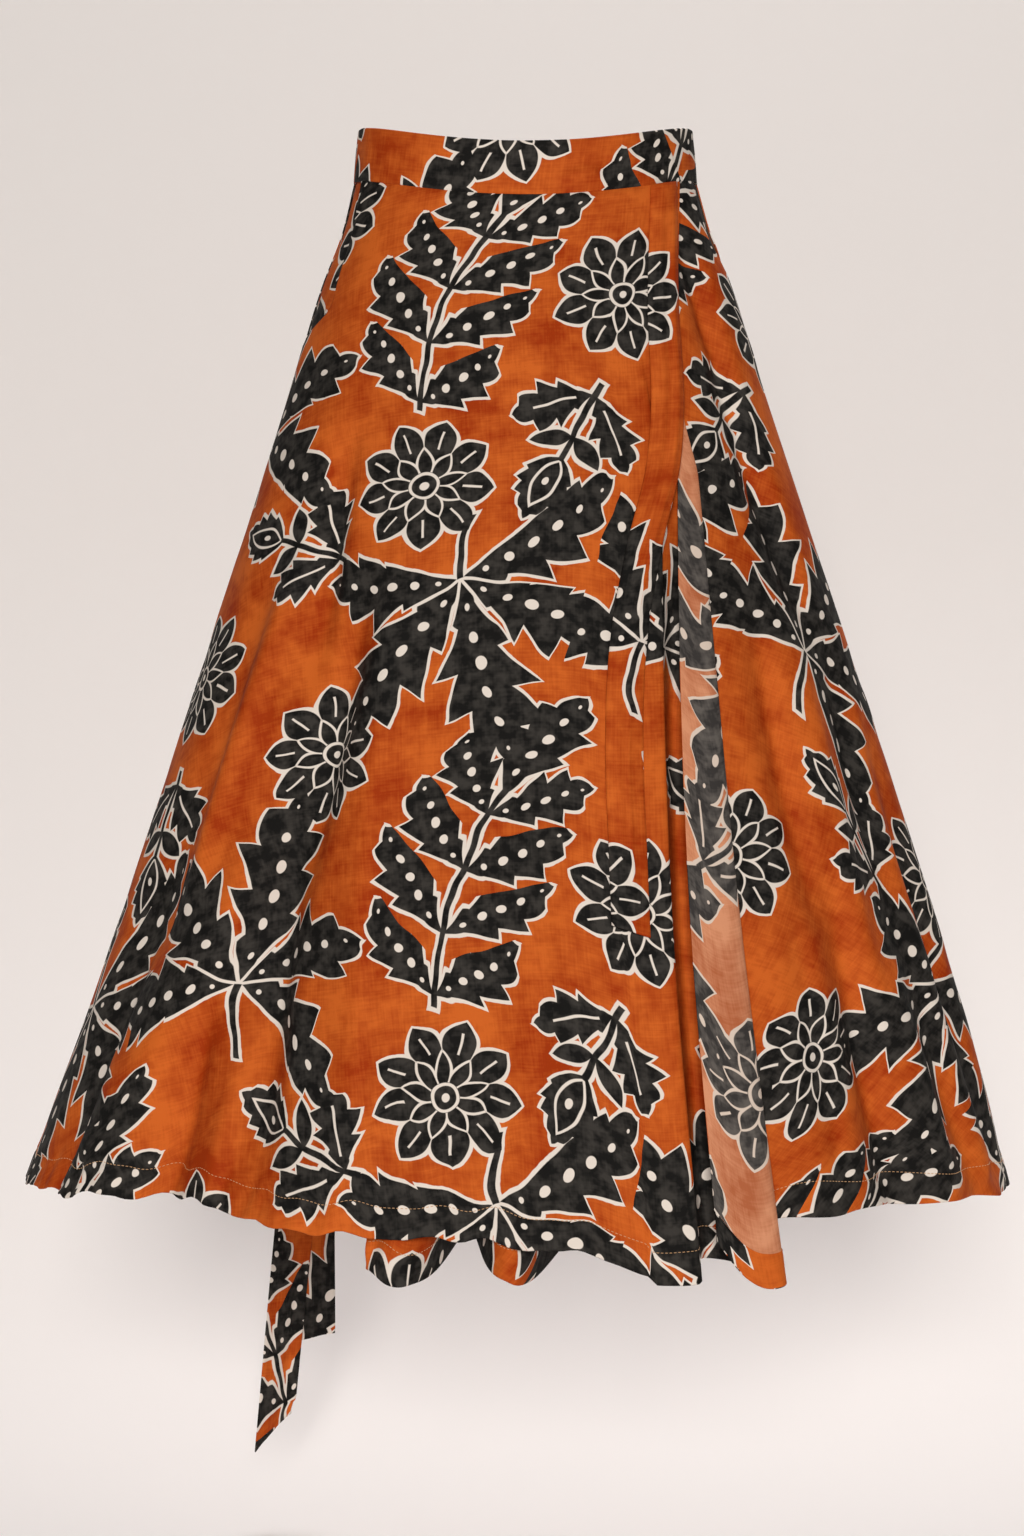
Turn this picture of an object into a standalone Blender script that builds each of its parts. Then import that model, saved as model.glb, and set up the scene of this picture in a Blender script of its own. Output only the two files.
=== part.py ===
"""Long flared wrap skirt, open at waist and hem, standing out as it does on a figure.

The origin is the middle of the waist, +Z is up and the front looks towards -Y. The front
panel wraps over the under panel and ends in a free edge, whose lower part is turned back.
Each cut piece is one wall with an outer face worked out on rings round the figure: an
angle of 0 is the left side, 90 degrees the front, 180 the right side and 270 the back,
and a drop of 0 is the waist seam and 1 the hem at the side seams.
"""

import math
from collections import namedtuple

import bpy
import numpy as np

# Walls and seams, in metres.
CLOTH_WALL = 0.0012
BAND_WALL = 0.0024
TIE_WALL = 0.0016
SEAM_GAP = 0.0003
BAND_SEAM_GAP = 0.0005

# Levels below the middle of the waist.
BAND_HEIGHT = 0.042
BAND_TOP_TAKE_IN = 0.0037
FRONT_DIP = 0.0256
BAND_END_TOP_X = 0.112
HEM_LEVEL = 0.834

# Rings round the figure: half the width, the depths to the front and to the back, and how
# far the ring's middle sways to the right.
Ring = namedtuple("Ring", "drop width front back sway")
RINGS = (
    Ring(0.00, 0.1407, 0.098, 0.098, 0.0012),
    Ring(0.05, 0.1515, 0.106, 0.108, 0.0020),
    Ring(0.10, 0.1670, 0.116, 0.122, 0.0020),
    Ring(0.20, 0.1920, 0.134, 0.143, 0.0025),
    Ring(0.55, 0.2835, 0.206, 0.217, 0.0040),
    Ring(0.80, 0.3490, 0.258, 0.269, 0.0025),
    Ring(1.06, 0.4150, 0.311, 0.322, -0.0080),
)

# The wrap: where the two free edges run, how far the front panel stands off the under
# panel over the middle and beside its fold, how far the edge's fold has formed, and how
# wide the turned back flap is.
Wrap = namedtuple("Wrap", "drop edge_x under_edge_x over stand fold flap")
WRAP = (
    Wrap(0.00, 0.1235, -0.070, 0.0026, 0.0026, 0.00, 0.000),
    Wrap(0.12, 0.1195, -0.078, 0.0040, 0.0046, 0.00, 0.003),
    Wrap(0.20, 0.1170, -0.082, 0.0050, 0.0078, 0.48, 0.009),
    Wrap(0.29, 0.1145, -0.086, 0.0064, 0.0114, 1.00, 0.018),
    Wrap(0.45, 0.1125, -0.094, 0.0090, 0.0170, 1.00, 0.029),
    Wrap(0.70, 0.1155, -0.103, 0.0130, 0.0235, 1.00, 0.041),
    Wrap(1.06, 0.1335, -0.116, 0.0185, 0.0300, 1.00, 0.053),
)

# Where round the front the panel has come over the under panel, and where it starts and
# ends rising to its stand beside the fold, in degrees. The band rises over BAND_OVER.
OVER_FROM = 48.0
STAND_FROM = 62.0
STAND_TO = 106.0
BAND_OVER = 40.0

# The folded edge, point by point from the front round both folds to the free edge. A
# point lies `reach` flap widths plus `shift` from the free edge along the ring, at
# `height` of the way from the lower layer to the front, and its hem drops by `extra`.
EdgePoint = namedtuple("EdgePoint", "reach shift height extra")
FOLDED_EDGE = (
    EdgePoint(0.00, -0.060, 1.00, 0.034),
    EdgePoint(0.00, -0.045, 1.00, 0.038),
    EdgePoint(0.00, -0.030, 1.00, 0.039),
    EdgePoint(0.00, -0.019, 1.04, 0.038),
    EdgePoint(0.00, -0.012, 0.98, 0.037),
    EdgePoint(0.00, -0.0105, 0.55, 0.034),
    EdgePoint(0.00, -0.013, 0.12, 0.028),
    EdgePoint(0.00, -0.002, 0.00, 0.026),
    EdgePoint(0.40, 0.000, 0.00, 0.028),
    EdgePoint(0.80, 0.000, 0.02, 0.034),
    EdgePoint(0.98, 0.000, 0.10, 0.040),
    EdgePoint(1.05, 0.000, 0.33, 0.043),
    EdgePoint(0.95, 0.000, 0.60, 0.045),
    EdgePoint(0.68, 0.000, 0.66, 0.047),
    EdgePoint(0.38, 0.000, 0.62, 0.038),
    EdgePoint(0.00, 0.000, 0.56, 0.004),
)
LOWER_LAYER_OFF = 0.0036
FLAT_STEP = 0.004

# Hems that hang lower than the ring's hem, by angle in degrees.
HemDrop = namedtuple("HemDrop", "angle extra")
FRONT_HEM = (
    HemDrop(0.0, 0.000),
    HemDrop(30.0, -0.008),
    HemDrop(52.0, -0.013),
    HemDrop(66.0, 0.000),
    HemDrop(85.0, 0.006),
    HemDrop(97.0, 0.016),
    HemDrop(103.0, 0.032),
    HemDrop(108.0, 0.038),
)
UNDER_HEM = (
    HemDrop(70.0, 0.030),
    HemDrop(80.0, 0.034),
    HemDrop(95.0, 0.034),
    HemDrop(108.0, 0.018),
    HemDrop(120.0, -0.002),
    HemDrop(150.0, -0.001),
    HemDrop(180.0, 0.004),
)
BACK_HEM = (
    HemDrop(180.0, 0.004),
    HemDrop(225.0, -0.004),
    HemDrop(270.0, 0.004),
    HemDrop(315.0, -0.004),
    HemDrop(360.0, 0.000),
)

# Soft folds that run down the cloth and deepen to the hem: a row for each ridge, or for
# each trough where the depth is negative, with its half width in degrees.
Fold = namedtuple("Fold", "angle spread depth start")
FRONT_FOLDS = (
    Fold(36.0, 9.0, 0.007, 0.20),
    Fold(52.0, 9.0, -0.020, 0.12),
    Fold(66.0, 9.0, 0.009, 0.30),
    Fold(82.0, 8.0, -0.003, 0.50),
    Fold(101.0, 6.0, -0.006, 0.45),
)
UNDER_FOLDS = (
    Fold(77.5, 3.4, 0.010, 0.45),
    Fold(83.8, 2.6, -0.020, 0.45),
    Fold(89.3, 3.2, 0.011, 0.45),
    Fold(94.8, 3.0, -0.018, 0.50),
    Fold(127.0, 7.0, 0.009, 0.15),
    Fold(140.0, 8.0, -0.013, 0.20),
    Fold(155.0, 8.0, 0.006, 0.25),
)
BACK_FOLDS = (
    Fold(202.0, 9.0, -0.012, 0.20),
    Fold(219.0, 9.0, 0.011, 0.15),
    Fold(238.0, 10.0, -0.015, 0.15),
    Fold(257.0, 9.0, 0.012, 0.20),
    Fold(276.0, 10.0, -0.013, 0.20),
    Fold(296.0, 9.0, 0.011, 0.15),
    Fold(315.0, 9.0, -0.012, 0.20),
    Fold(335.0, 9.0, 0.007, 0.20),
)

# Slanted side pockets: how far the mouth's edge lies from the side seam, in degrees.
Mouth = namedtuple("Mouth", "drop angle")
LEFT_MOUTH = (
    Mouth(0.0000, 20.0),
    Mouth(0.0600, 24.0),
    Mouth(0.1200, 27.0),
    Mouth(0.1330, 26.0),
    Mouth(0.1455, 19.5),
    Mouth(0.1580, 11.0),
    Mouth(0.1700, 3.0),
    Mouth(0.1780, 0.0),
)
RIGHT_MOUTH = (
    Mouth(0.0000, 14.0),
    Mouth(0.0300, 17.0),
    Mouth(0.0600, 15.0),
    Mouth(0.0800, 10.5),
    Mouth(0.1000, 5.5),
    Mouth(0.1200, 1.5),
    Mouth(0.1330, 0.0),
)
POCKET_CLEARANCE = 0.0010
POCKET_DROP = 0.29
POCKET_INNER_X = 0.088
POCKET_CORNER = 0.05
POCKET_ROUNDING = 0.035

# The tie over the front: where its middle is at each drop.
FrontTieRow = namedtuple("FrontTieRow", "drop x")
FRONT_TIE = (
    FrontTieRow(0.000, 0.1095),
    FrontTieRow(0.126, 0.1065),
    FrontTieRow(0.227, 0.1070),
    FrontTieRow(0.279, 0.1030),
    FrontTieRow(0.355, 0.0885),
    FrontTieRow(0.433, 0.0765),
    FrontTieRow(0.556, 0.0705),
    FrontTieRow(0.657, 0.0725),
    FrontTieRow(0.722, 0.0740),
)

# The ties behind: where the middle is at each level below the waist, in metres.
TieRow = namedtuple("TieRow", "level x")
LONG_TIE = (
    TieRow(0.0215, -0.088),
    TieRow(0.420, -0.134),
    TieRow(0.850, -0.196),
    TieRow(1.115, -0.223),
)
SHORT_TIE = (
    TieRow(0.0215, -0.043),
    TieRow(0.420, -0.120),
    TieRow(0.850, -0.183),
    TieRow(1.022, -0.184),
)
FRONT_TIE_WIDTH = 0.027
FRONT_TIE_END_SLANT = 0.010
BACK_TIE_WIDTH = 0.038
BACK_TIE_POINT = 0.050
LONG_TIE_SLANT = 0.030
SHORT_TIE_SLANT = 0.006
TIE_LIFT_DROP = 0.06
FRONT_TIE_ARCH = 0.0035
BACK_TIE_ARCH = 0.0015
TIE_CLEARANCE = 0.0008
FRONT_TIE_EXTRA_CLEARANCE = 0.0012
BACK_TIE_EXTRA_CLEARANCE = 0.0022

# Rows down the panels, closer together round the pocket mouths, and columns round them.
PANEL_ROWS = np.array(
    [0.0, 0.03, 0.06, 0.08, 0.10, 0.12, 0.133, 0.1455, 0.158, 0.17, 0.178, 0.195, 0.21]
    + [0.225, 0.24, 0.26, 0.29, 0.34, 0.42, 0.52, 0.62, 0.72, 0.82, 0.91, 1.0]
)
BACK_ROWS = np.array(
    [0.0, 0.03, 0.06, 0.09, 0.13, 0.17, 0.22, 0.28, 0.36, 0.45, 0.55, 0.66, 0.78, 0.89, 1.0]
)
FRONT_COLUMNS = 26
EDGE_COLUMNS = 26
UNDER_COLUMNS = 40
UNDER_FLUTED_COLUMNS = 0.5
UNDER_FLUTED_WIDTH = 0.25
BACK_COLUMNS = 40
BAND_COLUMNS = 26
TIE_COLUMNS = 3
FRONT_TIE_ROWS = 22
BACK_TIE_ROWS = 16
TIE_END_ROWS = 6
POCKET_ROWS = 10
POCKET_COLUMNS = 7

Finish = namedtuple("Finish", "name colour roughness")
RUST_CLOTH = Finish("rust_woven_cloth", (0.560, 0.110, 0.022, 1.0), 0.85)
DARK_CLOTH = Finish("charcoal_woven_cloth", (0.026, 0.024, 0.024, 1.0), 0.85)


def curve(rows, column, at):
    """The column's value at each place, on a smooth curve through the table's rows."""
    knots = np.array([row[0] for row in rows])
    values = np.array([getattr(row, column) for row in rows])
    slopes = np.gradient(values, knots)
    left = np.clip(np.searchsorted(knots, at, side="right") - 1, 0, len(knots) - 2)
    span = knots[left + 1] - knots[left]
    share = (at - knots[left]) / span
    rise = values[left + 1] - values[left]
    swing = slopes[left] * span - rise
    settle = rise - slopes[left + 1] * span
    bend = share * (1 - share) * (swing * (1 - share) + settle * share)
    return values[left] + share * rise + bend


def smooth_step(share):
    """0 below 0, 1 above 1 and a soft rise between them."""
    share = np.clip(share, 0.0, 1.0)
    return share * share * (3 - 2 * share)


def dip(angle):
    """How far the waist sinks below its sides: towards the middle of the front only."""
    return FRONT_DIP * np.clip(np.sin(angle), 0.0, 1.0) ** 2


def level(angle, drop):
    """The depth below the middle of the waist, from the waist seam down to the hem."""
    seam = BAND_HEIGHT / 2 + BAND_SEAM_GAP + dip(angle)
    return seam + drop * (HEM_LEVEL - seam)


def drop_at(angle, depth):
    """The drop that lies at this depth below the middle of the waist."""
    seam = BAND_HEIGHT / 2 + BAND_SEAM_GAP + dip(angle)
    return (depth - seam) / (HEM_LEVEL - seam)


def oval(angle, width, depth, out):
    """X and Y on an oval, moved out square to it."""
    square_x = -np.cos(angle) * depth
    square_y = -np.sin(angle) * width
    length = np.hypot(square_x, square_y)
    x = -width * np.cos(angle) + out * square_x / length
    y = -depth * np.sin(angle) + out * square_y / length
    return x, y


def ring(angle, drop, out):
    """Points of the skirt's ring at these angles and drops, moved out by `out`."""
    angle, drop, out = np.broadcast_arrays(angle, drop, out)
    side = np.where(np.sin(angle) > 0, curve(RINGS, "front", drop), curve(RINGS, "back", drop))
    x, y = oval(angle, curve(RINGS, "width", drop), side, out)
    return np.stack([x + curve(RINGS, "sway", drop), y, -level(angle, drop)], axis=-1)


def speed(angle, drop):
    """How many metres of ring a radian covers here."""
    side = np.where(np.sin(angle) > 0, curve(RINGS, "front", drop), curve(RINGS, "back", drop))
    return np.hypot(curve(RINGS, "width", drop) * np.sin(angle), side * np.cos(angle))


def front_angle(x, drop):
    """The angle at which the front of the ring passes this X."""
    along = (x - curve(RINGS, "sway", drop)) / curve(RINGS, "width", drop)
    return np.arccos(np.clip(-along, -1.0, 1.0))


def folds(rows, angle, drop):
    """The height of the soft folds here."""
    total = np.zeros(np.broadcast(angle, drop).shape)
    for row in rows:
        away = (np.degrees(angle) - row.angle) / row.spread
        grown = np.clip((drop - row.start) / (1 - row.start), 0.0, 1.2) ** 1.4
        total = total + row.depth * grown * np.exp(-(away**2))
    return total


def overlap_out(angle, drop):
    """How far out the front panel's face lies over the under panel's ring: level with it
    at the side seam, over it in the middle and standing off it before the folded edge."""
    from_side = smooth_step(np.degrees(angle) / OVER_FROM)
    to_edge = smooth_step((np.degrees(angle) - STAND_FROM) / (STAND_TO - STAND_FROM))
    over = curve(WRAP, "over", drop)
    stand = curve(WRAP, "stand", drop)
    return from_side * (over + to_edge * (stand - over)) + folds(FRONT_FOLDS, angle, drop)


def bump_spline(samples, count):
    """Weights of `count` control points at each sample of an evenly spaced cubic spline
    that starts at the second point and ends on the last one."""
    places = np.linspace(0.0, count - 2.0, samples)
    weights = np.zeros((samples, count + 1))
    for row, place in enumerate(places):
        first = min(int(place), count - 3)
        t = place - first
        basis = np.array(
            [(1 - t) ** 3, 3 * t**3 - 6 * t**2 + 4, -3 * t**3 + 3 * t**2 + 3 * t + 1, t**3]
        )
        for step in range(4):
            weights[row, min(first + step, count)] += basis[step] / 6
    return weights


def folded_edge(rows):
    """Angle, drop and out of the front panel's folded edge, at each row and column."""
    count = len(FOLDED_EDGE)
    weights = bump_spline(EDGE_COLUMNS, count)
    points = FOLDED_EDGE + (FOLDED_EDGE[-1],)
    extra = weights @ np.array([point.extra for point in points])
    reach = weights @ np.array([point.reach for point in points])
    shift = weights @ np.array([point.shift for point in points])
    height = weights @ np.array([point.height for point in points])
    flat = weights @ (FLAT_STEP * (np.minimum(np.arange(count + 1), count - 1) - (count - 1)))
    drop = rows[:, None] * (1 + extra / HEM_LEVEL)
    turned = curve(WRAP, "fold", drop).clip(0, 1)
    along = (1 - turned) * flat + turned * (reach * curve(WRAP, "flap", drop) + shift)
    edge = front_angle(curve(WRAP, "edge_x", drop), drop)
    angle = edge + along / speed(edge, drop)
    front = overlap_out(np.minimum(angle, edge), drop)
    stand = curve(WRAP, "stand", drop)
    lying = LOWER_LAYER_OFF + height * (stand - LOWER_LAYER_OFF) + folds(UNDER_FOLDS, angle, drop)
    return angle, drop, front * (1 - turned) + lying * turned


def front_panel():
    """The wrapping front: pocket mouth at its left, folded free edge at its right."""
    rows = PANEL_ROWS
    edge_angle, edge_drop, edge_out = folded_edge(rows)
    share = np.linspace(0.0, 1.0, FRONT_COLUMNS + 1)[:-1]
    hem_angle = share * edge_angle[-1, 0]
    extra = curve(FRONT_HEM, "extra", np.degrees(hem_angle))
    drop = rows[:, None] * (1 + extra / HEM_LEVEL)
    start = np.radians(np.interp(drop, *zip(*LEFT_MOUTH)))
    start = start + SEAM_GAP / 2 / speed(0.0, drop)
    angle = start + share * (edge_angle[:, :1] - start)
    main = ring(angle, drop, overlap_out(angle, drop))
    return np.concatenate([main, ring(edge_angle, edge_drop, edge_out)], axis=1)


def under_panel():
    """The under layer, from its free edge under the front to the right side seam."""
    share = np.linspace(0.0, 1.0, UNDER_COLUMNS + 1)
    share = np.interp(share, (0.0, UNDER_FLUTED_COLUMNS, 1.0), (0.0, UNDER_FLUTED_WIDTH, 1.0))
    hem_start = front_angle(WRAP[-1].under_edge_x, 1.0)
    hem_angle = hem_start + share * (math.pi - hem_start)
    extra = curve(UNDER_HEM, "extra", np.degrees(hem_angle))
    drop = PANEL_ROWS[:, None] * (1 + extra / HEM_LEVEL)
    start = front_angle(curve(WRAP, "under_edge_x", drop), drop)
    end = math.pi - np.radians(np.interp(drop, *zip(*RIGHT_MOUTH)))
    end = end - SEAM_GAP / 2 / speed(math.pi, drop)
    angle = start + share * (end - start)
    return ring(angle, drop, folds(UNDER_FOLDS, angle, drop))


def back_panel():
    """The back, from the right side seam round to the left one."""
    share = np.linspace(0.0, 1.0, BACK_COLUMNS + 1)
    extra = curve(BACK_HEM, "extra", 180.0 + 180.0 * share)
    drop = BACK_ROWS[:, None] * (1 + extra / HEM_LEVEL)
    inset = SEAM_GAP / 2 / speed(math.pi, drop)
    angle = math.pi + inset + share * (math.pi - 2 * inset)
    return ring(angle, drop, folds(BACK_FOLDS, angle, drop))


def pocket(right):
    """Facing and bag of a side pocket: one wall close behind the panel with its mouth."""
    columns = np.linspace(0.0, 1.0, POCKET_COLUMNS + 1)
    rows = np.linspace(0.0, 1.0, POCKET_ROWS + 1)[:, None]
    drop = rows * POCKET_DROP * np.ones_like(columns)
    rounded = np.clip(1 - (POCKET_DROP - drop) / POCKET_CORNER, 0.0, 1.0) ** 2
    inner = front_angle(-POCKET_INNER_X - POCKET_ROUNDING * rounded, drop)
    start = SEAM_GAP / speed(0.0, drop)
    angle = start + columns * (inner - start)
    behind = CLOTH_WALL + POCKET_CLEARANCE
    if right:
        angle = math.pi - angle[:, ::-1]
        return ring(angle, drop, folds(UNDER_FOLDS, angle, drop) - behind)
    return ring(angle, drop, overlap_out(angle, drop) - behind)


def band(start, end, over):
    """A stretch of waistband: rows from its top edge to its lower one. `start` and `end`
    hold the angles of both edges, and `over` is how far out it comes to lie past the left
    side."""
    share = np.linspace(0.0, 1.0, BAND_COLUMNS + 1)
    rows = np.linspace(0.0, 1.0, 3)[:, None]
    left = start[0] + rows * (start[1] - start[0])
    right = end[0] + rows * (end[1] - end[0])
    angle = left + share * (right - left)
    take_in = BAND_TOP_TAKE_IN * (1 - rows)
    width = RINGS[0].width - take_in
    depth = RINGS[0].front - take_in
    x, y = oval(angle, width, depth, over * smooth_step(np.degrees(angle) / BAND_OVER))
    z = BAND_HEIGHT * (0.5 - rows) - dip(angle)
    return np.stack([x + RINGS[0].sway, y, z], axis=-1)


def tie_on_front():
    """The tie that hangs from the waist seam beside the free edge, over the front."""
    across = np.linspace(-0.5, 0.5, TIE_COLUMNS + 1)
    down = np.linspace(0.0, 1.0, FRONT_TIE_ROWS + 1)[:, None]
    slant = FRONT_TIE_END_SLANT / HEM_LEVEL * down**8 * (across + 0.5)
    drop = FRONT_TIE[-1].drop * down + slant
    middle = front_angle(curve(FRONT_TIE, "x", drop), drop)
    angle = middle + across * FRONT_TIE_WIDTH / speed(middle, drop)
    arch = FRONT_TIE_ARCH * (1 - (2 * across) ** 2)
    clear = TIE_CLEARANCE + FRONT_TIE_EXTRA_CLEARANCE * np.minimum(3 * drop, 1.0)
    return ring(angle, drop, overlap_out(angle, drop) + TIE_WALL + clear + arch)


def tie_behind(rows, lift, end_slant):
    """A tie that hangs from the waist seam down the outside of the back and below it. It
    rises by `lift` just below the seam, where it comes to lie over another tie."""
    across = np.linspace(-0.5, 0.5, TIE_COLUMNS + 1)
    on_skirt = np.linspace(rows[0].level, HEM_LEVEL, BACK_TIE_ROWS + 1)
    below = np.linspace(HEM_LEVEL, rows[-1].level, TIE_END_ROWS + 1)
    depth = np.concatenate([on_skirt, below[1:]])
    x = curve(rows, "x", depth)[:, None]
    drop = np.minimum(drop_at(0.0, depth), 1.0)[:, None] * np.ones(TIE_COLUMNS + 1)
    middle = 2 * math.pi - front_angle(x, drop)
    angle = middle - across * BACK_TIE_WIDTH / speed(middle, drop)
    arch = BACK_TIE_ARCH * (1 - (2 * across) ** 2)
    off = TIE_WALL + TIE_CLEARANCE + BACK_TIE_EXTRA_CLEARANCE * np.minimum(3 * drop, 1.0)
    off = off + lift * smooth_step(drop / TIE_LIFT_DROP) + arch
    points = ring(angle, drop, folds(BACK_FOLDS, angle, drop) + off)
    end = smooth_step(1 - (rows[-1].level - depth) / BACK_TIE_POINT)[:, None]
    points[..., 2] = -depth[:, None] + end_slant * end * (across + 0.5)
    return points[:, ::-1]


def cloth_material(finish):
    """A dull woven cloth of one colour."""
    material = bpy.data.materials.get(finish.name)
    if material is None:
        material = bpy.data.materials.new(finish.name)
        material.use_nodes = True
        shader = material.node_tree.nodes["Principled BSDF"]
        shader.inputs["Base Color"].default_value = finish.colour
        shader.inputs["Roughness"].default_value = finish.roughness
        shader.inputs["Metallic"].default_value = 0.0
        material.diffuse_color = finish.colour
    return material


def wall(name, points, thickness, finish):
    """A closed wall whose outer face is this grid of points, rows from the top down and
    columns from the wearer's right to left as seen from outside."""
    rows, columns = points.shape[:2]
    corner = np.arange(rows * columns).reshape(rows, columns)
    faces = np.stack(
        [corner[:-1, :-1], corner[1:, :-1], corner[1:, 1:], corner[:-1, 1:]], axis=-1
    ).reshape(-1, 4)
    mesh = bpy.data.meshes.new(name)
    mesh.from_pydata(points.reshape(-1, 3).tolist(), [], faces.tolist())
    mesh.materials.append(cloth_material(finish))
    mesh.shade_smooth()
    mesh.set_sharp_from_angle(angle=math.radians(50.0))
    piece = bpy.data.objects.new(name, mesh)
    bpy.context.scene.collection.objects.link(piece)
    solidify = piece.modifiers.new("wall", "SOLIDIFY")
    solidify.thickness = thickness
    solidify.offset = -1.0
    solidify.use_quality_normals = True
    return piece


def clear_scene():
    """Removes whatever the scene starts with."""
    for thing in list(bpy.data.objects):
        bpy.data.objects.remove(thing, do_unlink=True)


def main():
    """Builds the skirt's cut pieces."""
    clear_scene()
    wall("front_panel", front_panel(), CLOTH_WALL, RUST_CLOTH)
    wall("under_panel", under_panel(), CLOTH_WALL, RUST_CLOTH)
    wall("back_panel", back_panel(), CLOTH_WALL, RUST_CLOTH)
    wall("pocket_left", pocket(right=False), CLOTH_WALL, RUST_CLOTH)
    wall("pocket_right", pocket(right=True), CLOTH_WALL, RUST_CLOTH)

    gap = SEAM_GAP / RINGS[0].front
    over = WRAP[0].over + BAND_WALL / 4
    end_top = front_angle(BAND_END_TOP_X, 0.0)
    end_low = front_angle(WRAP[0].edge_x, 0.0)
    under_end = front_angle(WRAP[0].under_edge_x, 0.0)
    right_side = math.pi
    left_side = 2 * math.pi
    front_band = band((gap, gap), (end_top, end_low), over)
    under_band = band((under_end, under_end), (right_side - gap, right_side - gap), 0.0)
    back_band = band((right_side + gap, right_side + gap), (left_side - gap, left_side - gap), 0.0)
    wall("waistband_front", front_band, BAND_WALL, RUST_CLOTH)
    wall("waistband_under", under_band, BAND_WALL, RUST_CLOTH)
    wall("waistband_back", back_band, BAND_WALL, RUST_CLOTH)

    second_layer = TIE_WALL + 2 * TIE_CLEARANCE + BACK_TIE_ARCH
    wall("tie_front", tie_on_front(), TIE_WALL, DARK_CLOTH)
    wall("tie_back_long", tie_behind(LONG_TIE, 0.0, LONG_TIE_SLANT), TIE_WALL, DARK_CLOTH)
    wall("tie_back_short", tie_behind(SHORT_TIE, second_layer, SHORT_TIE_SLANT), TIE_WALL, DARK_CLOTH)


main()
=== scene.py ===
"""Long wrap skirt of printed linen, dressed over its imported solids.

Every cut piece is a thin shell of cloth on the form of its own solid. The form is worked
out on rings round the figure: an angle of 0 is the wearer's right side, towards -X, 90
degrees the front, towards -Y, 180 the wearer's left side and 270 the back. A drop of 0 is
the waist seam and 1 the hem at the side seams. Angles are radians unless a name or a
table says degrees, lengths are metres, and sizes in the print are millimetres on the cloth.
"""

import logging
import math
from dataclasses import dataclass
from enum import Enum
from typing import Any, NamedTuple, Sequence

import bpy
import numpy as np
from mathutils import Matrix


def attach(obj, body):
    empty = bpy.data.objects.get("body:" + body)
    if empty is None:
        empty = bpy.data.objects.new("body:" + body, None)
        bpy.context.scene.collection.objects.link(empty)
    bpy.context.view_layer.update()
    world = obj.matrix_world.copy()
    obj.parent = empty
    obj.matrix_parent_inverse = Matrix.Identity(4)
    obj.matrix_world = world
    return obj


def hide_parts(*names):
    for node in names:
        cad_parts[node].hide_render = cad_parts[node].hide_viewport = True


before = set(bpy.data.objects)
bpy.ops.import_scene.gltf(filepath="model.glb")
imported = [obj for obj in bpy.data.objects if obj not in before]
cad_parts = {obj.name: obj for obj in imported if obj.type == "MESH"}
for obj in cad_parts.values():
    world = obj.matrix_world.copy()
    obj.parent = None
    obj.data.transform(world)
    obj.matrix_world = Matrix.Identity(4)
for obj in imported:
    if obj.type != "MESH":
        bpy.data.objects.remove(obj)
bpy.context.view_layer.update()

Array = np.ndarray
Pair = tuple[float, float]

LOG = logging.getLogger("wrap_skirt")
BODY = "root"
CLOTH_MAP = "cloth"
HEM_MAP = "hem"
MM = 0.001
CLOTH_WALL = 0.0008
SEAM_GAP = 0.0003


# ---------------- the form of the skirt


class RingRow(NamedTuple):
    """A ring round the figure: half its width, its depths and how far it sways to +X."""

    drop: float
    width: float
    front: float
    back: float
    sway: float


class WrapRow(NamedTuple):
    """The wrap at a drop: the free edges, how far the front stands off, fold and flap."""

    drop: float
    edge_x: float
    under_edge_x: float
    over: float
    stand: float
    fold: float
    flap: float


class EdgePoint(NamedTuple):
    """A point of the folded edge: flap widths and metres from the edge, height, hem."""

    reach: float
    shift: float
    height: float
    extra: float


class HemRow(NamedTuple):
    """How much lower than its ring a hem hangs at an angle in degrees."""

    angle: float
    extra: float


class MouthRow(NamedTuple):
    """How many degrees the pocket mouth's edge lies from the side seam at a drop."""

    drop: float
    angle: float


class TieRow(NamedTuple):
    """Where the middle of a tie is at a drop or at a level below the waist."""

    at: float
    x: float


class Pleat(NamedTuple):
    """A soft pleat along a tie: its place and half width as shares of the tie's width."""

    at: float
    half_width: float
    height: float


class Fold(NamedTuple):
    """A soft fold down the cloth, in degrees: a ridge where the depth is positive."""

    angle: float
    spread: float
    depth: float
    start: float


class Crease(NamedTuple):
    """A short crease between two places, in degrees and drops, with its half width and
    its depth in metres: a ridge where the depth is positive."""

    from_angle: float
    from_drop: float
    to_angle: float
    to_drop: float
    half_width: float
    depth: float


def table(kind: type, *rows: tuple[float, ...]) -> tuple[Any, ...]:
    """Rows of numbers as rows of this kind, whose columns have names."""
    return tuple(kind(*row) for row in rows)


def through(rows: Sequence[Any], column: str, at: Any) -> Array:
    """A smooth curve through a table's rows.

    Between two rows the curve is a cubic whose ends match the rows and whose end slopes
    are the table's own central differences.

    Args:
        rows: the table; its first column says where each row is.
        column: name of the column to read.
        at: places to read it at.

    Returns:
        The column's value at each place.
    """
    knots = np.array([row[0] for row in rows])
    values = np.array([getattr(row, column) for row in rows])
    slopes = np.gradient(values, knots)
    left = np.clip(np.searchsorted(knots, at, side="right") - 1, 0, len(knots) - 2)
    span = knots[left + 1] - knots[left]
    share = (at - knots[left]) / span
    rise = values[left + 1] - values[left]
    swing = slopes[left] * span - rise
    settle = rise - slopes[left + 1] * span
    bow = share * (1 - share) * (swing * (1 - share) + settle * share)
    return values[left] + share * rise + bow


def smooth_step(share: Any) -> Array:
    """0 below 0, 1 above 1 and the soft rise 3s^2 - 2s^3 between them."""
    share = np.clip(share, 0.0, 1.0)
    return share * share * (3 - 2 * share)


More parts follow.
